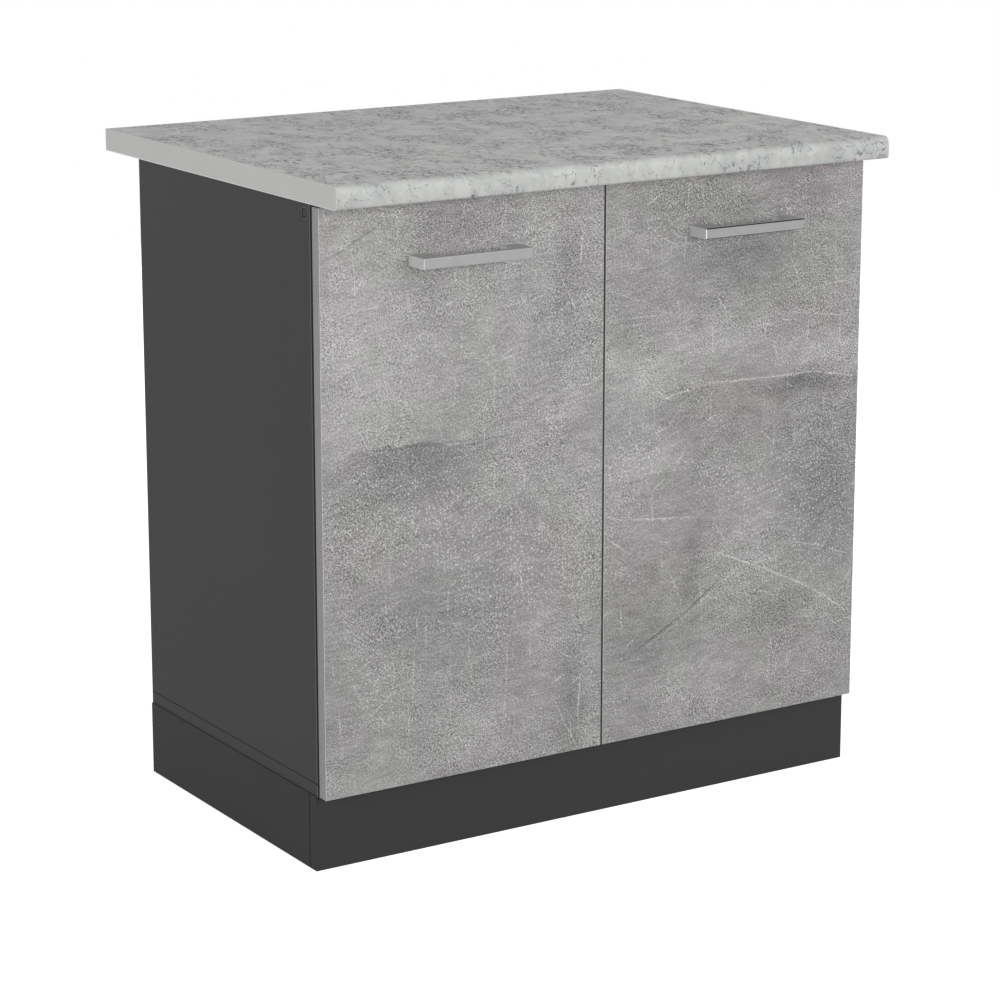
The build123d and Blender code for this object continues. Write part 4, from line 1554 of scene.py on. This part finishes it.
@dataclass(frozen=True)
class SatinHandle(Finish):
    """Satin silver lacquer on a handle. Its top, bottom and side faces are painted lighter than its front, as
    painted light. The bevelled edges round the front of its bar are polished, and carry painted highlights
    and a painted shadow line on the right handle's top.
    """

    effects: Effects
    name: str
    front: float
    bevel_light: BevelLight
    colour: Colour = shade(151)
    # Painted light: the top and bottom faces and the side faces are given lighter colours than the front.
    above: Colour = shade(182)
    painted_lit_ends: Colour = shade(206)
    bevel: float = 0.0009
    brushed: tuple[float, float] = (8.0, 420.0)
    worn: float = 0.95
    facing: float = 0.9
    slanting: float = 1.2
    satin: Ends = (0.40, 0.48)
    polish: float = 0.22
    metallic: Ends = (0.2, 1.0)
    gloss: float = 0.3
    relief: float = 0.00001

    def _on_bevel(self, sheet: Sheet, leans: tuple[Socket, ...], upwards: Socket, y: Socket) -> Socket:
        """Gives 1 on the slanting faces round the front of the bar, and on the brink above it.

        Args:
            sheet: The sheet to fill.
            leans: How much a face looks along X, Y and Z.
            upwards: 1 where a face looks up or down.
            y: The depth.

        Returns:
            The value's socket.
        """
        total = sheet.sum("ADD", sheet.sum("ADD", leans[0], leans[1]), leans[2])
        in_front = sheet.sum("LESS_THAN", y, self.front + self.bevel)
        slanting = sheet.product(sheet.sum("GREATER_THAN", total, self.slanting), in_front)
        brink = sheet.product(upwards, sheet.sum("LESS_THAN", y, self.front + self.bevel_light.reach))
        return sheet.sum("MAXIMUM", slanting, brink)

    def build(self) -> bpy.types.Material:
        """Builds the material.

        Returns:
            The finished material.
        """
        material, sheet, shader, place = self.start()
        stretch = Across.X.stretch(*self.brushed)
        drawn = sheet.group(self.effects.brushing, Vector=place, Stretch=stretch)
        facing = sheet.node("ShaderNodeTexCoord").outputs["Normal"]
        leans = sheet.axes(sheet.vector("ABSOLUTE", facing))
        upwards = sheet.sum("GREATER_THAN", leans[2], 0.5)
        on_bevel = self._on_bevel(sheet, leans, upwards, sheet.axes(place)[1])

        # Painted light: the side faces, then the top and bottom faces, get lighter colours than the front.
        flat = sheet.mix(sheet.sum("GREATER_THAN", leans[0], self.facing), self.colour, self.painted_lit_ends)
        flat = sheet.mix(sheet.sum("GREATER_THAN", leans[2], self.facing), flat, self.above)
        flat = sheet.times(flat, sheet.spread(drawn["Cloud"], self.worn, 1.0))
        # The bevelled edges' colours: painted highlights, and on the right handle's top a painted shadow
        # line.
        bevel = sheet.mix(upwards, self.bevel_light.side, self.bevel_light.top)
        satin = sheet.spread(drawn["Lines"], *self.satin)
        sheet.fill(
            shader,
            Base_Color=sheet.mix(on_bevel, flat, bevel),
            Roughness=sheet.blend(on_bevel, satin, self.polish),
            Metallic=sheet.blend(on_bevel, *self.metallic),
            Normal=sheet.bump(drawn["Lines"], self.relief),
            Specular_IOR_Level=self.gloss,
        )
        return material


@dataclass(frozen=True)
class Plastic(Finish):
    """Plain moulded or extruded plastic with a faint pearl, and, where a height is given, a painted highlight
    along the edge below it.
    """

    name: str
    colour: Colour
    roughness: float = 0.45
    clear: float = 0.0
    shine: float = 0.5
    # arris is the colour of a painted highlight along a lower edge, below the height given next.
    arris: Colour = shade(222)
    highlight_below: float = -1.0
    pearl: Layer = Layer(600.0, reach=0.4)
    drift: Layer = Layer(12.0)
    clouded: Span = (0.4, 1.0)
    contrast: float = 0.03
    wear: float = 0.04
    relief: float = 0.00003

    def build(self) -> bpy.types.Material:
        """Builds the material.

        Returns:
            The finished material.
        """
        material, sheet, shader, place = self.start()
        pearl = sheet.noise(place, self.pearl)
        drift = sheet.noise(place, self.drift)
        shift = sheet.span(sheet.sum("MULTIPLY_ADD", pearl, self.pearl.reach, drift), *self.clouded)
        low = dimmed(self.colour, 1.0 - self.contrast)
        colour = sheet.mix(shift, low, dimmed(self.colour, 1.0 + self.contrast))
        if self.highlight_below > 0.0:
            on_highlight = sheet.sum("LESS_THAN", sheet.axes(place)[2], self.highlight_below)
            colour = sheet.mix(on_highlight, colour, self.arris)
        sheet.fill(
            shader,
            Base_Color=colour,
            Roughness=sheet.spread(pearl, self.roughness - self.wear, self.roughness + self.wear),
            Normal=sheet.bump(pearl, self.relief),
            Specular_IOR_Level=self.shine,
            Transmission_Weight=self.clear,
        )
        return material


@dataclass(frozen=True)
class Timber(Finish):
    """Bare beech or softwood with a straight grain."""

    name: str = "bare_wood"
    grain: Across = Across.Z
    early: Colour = shade(206, red=16.0, blue=-40.0)
    late: Colour = shade(168, red=20.0, blue=-46.0)
    drawn_out: float = 0.06
    rings: Layer = Layer(260.0, 4.0, 0.6, distortion=0.5)
    pores: Layer = Layer(1500.0, reach=0.25)
    ringed: Span = (0.45, 0.85)
    dull: Ends = (0.6, 0.75)
    relief: float = 0.0001

    def build(self) -> bpy.types.Material:
        """Builds the material.

        Returns:
            The finished material.
        """
        material, sheet, shader, place = self.start()
        drawn = sheet.vector("MULTIPLY", place, self.grain.stretch(self.drawn_out, 1.0))
        rings = sheet.noise(drawn, self.rings)
        pores = sheet.noise(drawn, self.pores)
        tone = sheet.span(sheet.sum("MULTIPLY_ADD", pores, self.pores.reach, rings), *self.ringed)
        sheet.fill(
            shader,
            Base_Color=sheet.mix(tone, self.late, self.early),
            Roughness=sheet.spread(pores, *self.dull),
            Normal=sheet.bump(rings, self.relief),
        )
        return material


@dataclass
class Wardrobe:
    """Gives each solid its finish."""

    frame: dict
    dressed: set[str] = field(default_factory=set)

    def dress(self, finish: Finish, *names: str) -> None:
        """Puts one finish on some solids.

        Args:
            finish: The finish, which is built once for this call.
            names: The solids' names.
        """
        material = finish.build()
        for name in names:
            node = self.frame["nodes"][name]
            node.data.materials.clear()
            node.data.materials.append(material)
            self.dressed.add(name)
        log.info("%s on %s", finish.name, ", ".join(names))

    def missed(self) -> list[str]:
        """Names the solids that have no finish yet."""
        return sorted(set(self.frame["nodes"]) - self.dressed)


@dataclass
class Worktop:
    """The worktop and its end strips."""

    wardrobe: Wardrobe
    effects: Effects
    strip: Colour = shade(193, red=-0.5, blue=-3.0)
    strip_roughness: float = 0.42
    # How far up from each strip's lower edge its painted highlight reaches.
    strip_highlight: float = 0.0011

    def dress(self) -> None:
        """Dresses the slab in its print, and the ends in their strips."""
        low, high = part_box("worktop")
        self.wardrobe.dress(MarblePrint(self.effects, high.z, low.z, high.y), "worktop")
        strip = Plastic(
            "end_strip_grey", self.strip, self.strip_roughness, highlight_below=low.z + self.strip_highlight
        )
        self.wardrobe.dress(strip, *pair("worktop_end_strip"))


@dataclass
class Carcass:
    """The boards of the cabinet's body, with their caps and wooden parts."""

    wardrobe: Wardrobe
    effects: Effects

    def dress(self) -> None:
        """Dresses the boards, the back panel and the small parts."""
        low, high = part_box("side_panel_left")
        board = Melamine(self.effects, low.y, high.y, joints_z=(low.z,), outside=-low.x)
        names = (*pair("side_panel"), "bottom_panel", "front_rail", "rear_rail")
        self.wardrobe.dress(board, *names)
        low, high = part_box("shelf")
        self.wardrobe.dress(Melamine(self.effects, low.y, high.y, name="anthracite_shelf"), "shelf")
        self.wardrobe.dress(Hardboard(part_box("back_panel")[1].y), "back_panel")
        ScrewCap(self.wardrobe).build()
        self.wardrobe.dress(Timber(), "plinth_corner_blocks")
        self.wardrobe.dress(Timber("beech_dowel", Across.X), "carcass_dowels")


@dataclass
class ScrewCap:
    """The round cap over the screw near the top front corner of a side panel."""

    wardrobe: Wardrobe
    vertices: int = 72
    proud: float = 0.0003
    rim: float = 0.0017
    wall: float = 0.0010
    recess: float = 0.0010
    crown: float = 0.0004
    rounding: float = 0.0004
    smooth_below: float = 35.0
    facing: float = 0.9
    flat: float = 0.95
    # Painted light: the rim is painted lighter as a highlight, and the groove and the sunken middle darker as
    # shade.
    rim_highlight_colour: Colour = shade(92)
    groove_shade_colour: Colour = shade(34)
    centre_shade_colour: Colour = shade(60)

    def _face_outwards(self, mesh: bpy.types.Mesh, side: Side) -> None:
        """Selects the round face that points away from the cabinet, and nothing else.

        Args:
            mesh: The cap's mesh, in edit mode.
            side: The cap's side of the cabinet.
        """
        bpy.ops.mesh.select_all(action="DESELECT")
        bpy.ops.object.mode_set(mode="OBJECT")
        outwards = [face for face in mesh.polygons if face.normal.x * side.sign() > self.facing]
        middle = max(outwards, key=lambda face: face.area if len(face.vertices) == self.vertices else 0.0)
        middle.select = True
        bpy.ops.object.mode_set(mode="EDIT")

    def _shape(self, side: Side) -> bpy.types.Object:
        """Turns the cap: a flat rim, a step down, and a slightly crowned middle.

        Args:
            side: The cap's side of the cabinet.

        Returns:
            The finished piece.
        """
        low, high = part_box(side.of("screw_cap"))
        middle = (low + high) / 2
        bpy.ops.mesh.primitive_cylinder_add(
            vertices=self.vertices,
            radius=(high.z - low.z) / 2,
            depth=high.x - low.x + self.proud,
            location=(middle.x + side.sign() * self.proud / 2, middle.y, middle.z),
            rotation=(0.0, math.pi / 2, 0.0),
        )
        cap = bpy.context.object
        cap.name = cap.data.name = side.of("cover_cap")
        bpy.ops.object.transform_apply(location=True, rotation=True, scale=True)
        bpy.ops.object.mode_set(mode="EDIT")
        steps = ((self.rim, 0.0), (self.wall, -self.recess), (self.rim / 2, self.crown))
        for thickness, depth in steps:
            self._face_outwards(cap.data, side)
            bpy.ops.mesh.inset(thickness=thickness, depth=depth)
        bpy.ops.object.mode_set(mode="OBJECT")
        bevel = cap.modifiers.new("edges", "BEVEL")
        bevel.width = self.rounding
        bevel.segments = 2
        bevel.limit_method = "ANGLE"
        bpy.ops.object.modifier_apply(modifier=bevel.name)
        bpy.ops.object.shade_smooth_by_angle(angle=math.radians(self.smooth_below))
        return cap

    def _paint(self, cap: bpy.types.Object, node: str) -> None:
        """Gives the rim, the walls of the groove and the middle their slots 0, 1 and 2: a painted highlight
        on the rim, and painted shade on the groove's walls and the sunken middle.

        Args:
            cap: The finished cap.
            node: The solid whose place it takes.
        """
        low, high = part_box(node)
        inside = (high.z - low.z) / 2 - self.rim - self.wall / 2
        for face in cap.data.polygons:
            away = (face.center - (low + high) / 2).yz.length
            face.material_index = 2 if away < inside else 0
            if abs(face.normal.x) < self.flat:
                face.material_index = 1

    def build(self) -> None:
        """Makes both caps and puts them in the place of the solids."""
        finishes = (
            Plastic("cap_rim_highlight", self.rim_highlight_colour, shine=0.15).build(),
            Plastic("cap_groove_shade", self.groove_shade_colour, roughness=0.4, shine=0.1).build(),
            Plastic("cap_centre_shade", self.centre_shade_colour, shine=0.1).build(),
        )
        for side in Side:
            node = side.of("screw_cap")
            cap = self._shape(side)
            for finish in finishes:
                cap.data.materials.append(finish)
            self._paint(cap, node)
            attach(cap, "carcass")
            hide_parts(node)
            self.wardrobe.dressed.add(node)
            log.info("%s in the place of %s", cap.name, node)


@dataclass
class Plinth:
    """The four boards that the cabinet stands on."""

    wardrobe: Wardrobe
    effects: Effects
    # Painted light: the front face takes band, lighter than face, which the other faces take.
    face: Colour = shade(55)
    band: Colour = shade(60)
    joint_width: float = 0.0022

    def dress(self) -> None:
        """Dresses the plinth, with the joint line behind its front board, and its front face painted lighter
        than its other faces as painted light.
        """
        low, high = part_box("plinth_front")
        board = Melamine(
            self.effects,
            low.y,
            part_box("plinth_rear")[1].y,
            joints_y=(high.y,),
            outside=high.x,
            name="anthracite_plinth",
            face=self.face,
            band=self.band,
            arris=self.face,
            joint_width=self.joint_width,
            raw_back=False,
        )
        self.wardrobe.dress(board, "plinth_front", "plinth_rear", *pair("plinth_side"))


@dataclass
class Doors:
    """The two doors with their handles and bumpers."""

    wardrobe: Wardrobe
    effects: Effects
    # Painted highlights on the bevelled edges, and a painted shadow line along the right handle's top.
    left_bevel_light: BevelLight = BevelLight(side=shade(186), top=shade(205), reach=0.0009)
    right_bevel_light: BevelLight = BevelLight(side=shade(224), top=shade(26), reach=0.0045)
    rubber: Colour = shade(210)

    def dress(self) -> None:
        """Dresses the doors, the handles and the bumpers."""
        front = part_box("door_left")[0].y
        for side, marks in ((Side.LEFT, LEFT_MARKS), (Side.RIGHT, RIGHT_MARKS)):
            facing = ConcretePrint(self.effects, side.of("concrete_print"), front, marks)
            self.wardrobe.dress(facing, side.of("door"))
        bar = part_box("handle_left")[0].y
        for side, bevel_light in ((Side.LEFT, self.left_bevel_light), (Side.RIGHT, self.right_bevel_light)):
            satin = SatinHandle(self.effects, side.of("satin_handle"), bar, bevel_light)
            self.wardrobe.dress(satin, side.of("handle"))
        soft = Plastic("clear_rubber", self.rubber, roughness=0.25, clear=0.4)
        self.wardrobe.dress(soft, *pair("door_bumpers"))


@dataclass
class Ironwork:
    """Hinges, cams, brackets, screws, nails and shelf supports."""

    wardrobe: Wardrobe
    effects: Effects
    nickel: Colour = shade(196, red=2.0)
    zinc: Colour = shade(188, blue=4.0)

    def dress(self) -> None:
        """Dresses the pressed parts in nickel and the fasteners in zinc."""
        pressed = Metal(self.effects, "nickel_plate", self.nickel, Across.Z, smooth=0.22, dull=0.34)
        names = (*pair("hinge_cups"), *pair("hinge_arms"), *pair("hinge_plates"))
        self.wardrobe.dress(pressed, *names, "cam_locks", "worktop_brackets")
        zinc = Metal(self.effects, "zinc_plate", self.zinc, Across.Y, smooth=0.36, dull=0.48, bare=0.7)
        self.wardrobe.dress(zinc, *self.wardrobe.missed())


@dataclass(frozen=True)
class Lamp:
    """A soft rectangular lamp: its name, its place, its width and height, and its power in watts."""

    name: str
    place: Point
    size: tuple[float, float]
    power: float

    def hang(self, target: Point) -> None:
        """Hangs the lamp so that it faces a point.

        Args:
            target: What it faces.
        """
        light = bpy.data.lights.new(self.name, "AREA")
        light.shape = "RECTANGLE"
        light.size, light.size_y = self.size
        light.energy = self.power
        lamp = bpy.data.objects.new(self.name, light)
        bpy.context.scene.collection.objects.link(lamp)
        lamp.location = self.place
        facing = Vector(target) - Vector(self.place)
        lamp.rotation_euler = facing.to_track_quat("-Z", "Y").to_euler()


@dataclass
class Studio:
    """A white floor and soft lamps round the cabinet."""

    floor_size: float = 8.0
    floor_colour: Colour = (0.50, 0.50, 0.50)
    floor_seen: Colour = (0.90, 0.90, 0.90)
    floor_glow: float = 0.70
    floor_roughness: float = 0.9
    sky: float = 0.30
    background: float = 1.0
    middle: Point = (0.0, 0.0, 0.55)
    lamps: tuple[Lamp, ...] = (
        Lamp("front_lamp", (0.4, -4.0, 1.35), (2.4, 1.6), 96.0),
        Lamp("left_lamp", (-4.0, -1.0, 1.6), (2.0, 1.4), 60.0),
        Lamp("right_lamp", (4.0, 0.4, 1.6), (2.0, 1.4), 60.0),
        Lamp("rear_lamp", (0.0, 4.2, 1.1), (2.4, 1.4), 34.0),
    )

    @staticmethod
    def _seen(sheet: Sheet) -> Socket:
        """Gives 1 on rays that show a thing: to the camera, in a gloss or through glass.

        Args:
            sheet: The sheet to fill.

        Returns:
            The value's socket.
        """
        path = sheet.node("ShaderNodeLightPath")
        gloss = sheet.sum("MAXIMUM", path.outputs["Is Camera Ray"], path.outputs["Is Glossy Ray"])
        return sheet.sum("MAXIMUM", gloss, path.outputs["Is Transmission Ray"])

    def _floor(self) -> None:
        """Lays the floor, which isn't part of the object."""
        bpy.ops.mesh.primitive_plane_add(size=self.floor_size)
        floor = bpy.context.object
        floor.name = "studio_floor"
        material = bpy.data.materials.new("studio_floor")
        material.use_nodes = True
        sheet = Sheet(material.node_tree)
        seen = self._seen(sheet)
        sheet.fill(
            material.node_tree.nodes["Principled BSDF"],
            Base_Color=sheet.mix(seen, self.floor_colour, self.floor_seen),
            Emission_Color=WHITE,
            Emission_Strength=sheet.product(seen, self.floor_glow),
            Roughness=self.floor_roughness,
            Specular_IOR_Level=0.0,
        )
        floor.data.materials.append(material)

    def _sky(self) -> None:
        """Sets an even light all round, shown as white."""
        world = bpy.data.worlds.new("studio")
        world.use_nodes = True
        bpy.context.scene.world = world
        sheet = Sheet(world.node_tree)
        strength = sheet.blend(self._seen(sheet), self.sky, self.background)
        sheet.fill(world.node_tree.nodes["Background"], Color=WHITE, Strength=strength)

    def build(self) -> None:
        """Builds the floor, the sky and the lamps."""
        self._floor()
        self._sky()
        for lamp in self.lamps:
            lamp.hang(self.middle)


@dataclass
class Viewpoint:
    """The camera at the photograph's viewing angle, with its turn and tilt in degrees."""

    place: Point = (-2.16818, -3.42744, 1.37934)
    turned_right: float = 32.4291
    tilted_down: float = 13.2140
    lens: float = 114.933
    sensor: float = 36.0
    shift_up: float = -0.05
    far: float = 100.0

    def build(self) -> None:
        """Makes the camera and gives it to the scene."""
        data = bpy.data.cameras.new("viewpoint")
        data.sensor_width = self.sensor
        data.lens = self.lens
        data.shift_y = self.shift_up
        data.clip_end = self.far
        camera = bpy.data.objects.new("viewpoint", data)
        bpy.context.scene.collection.objects.link(camera)
        camera.location = self.place
        camera.rotation_euler = (math.radians(90.0 - self.tilted_down), 0.0, -math.radians(self.turned_right))
        bpy.context.scene.camera = camera


def main() -> None:
    """Loads the frame, dresses every solid, and sets up the studio and the camera."""
    logging.basicConfig(level=logging.INFO, format="%(name)s: %(message)s")
    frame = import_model()
    bpy.ops.object.select_all(action="DESELECT")
    bpy.context.scene.view_settings.view_transform = "Standard"

    effects = Effects()
    wardrobe = Wardrobe(frame)
    for assembly in (Worktop, Carcass, Plinth, Doors, Ironwork):
        assembly(wardrobe, effects).dress()
    Studio().build()
    Viewpoint().build()


if __name__ == "__main__":
    main()
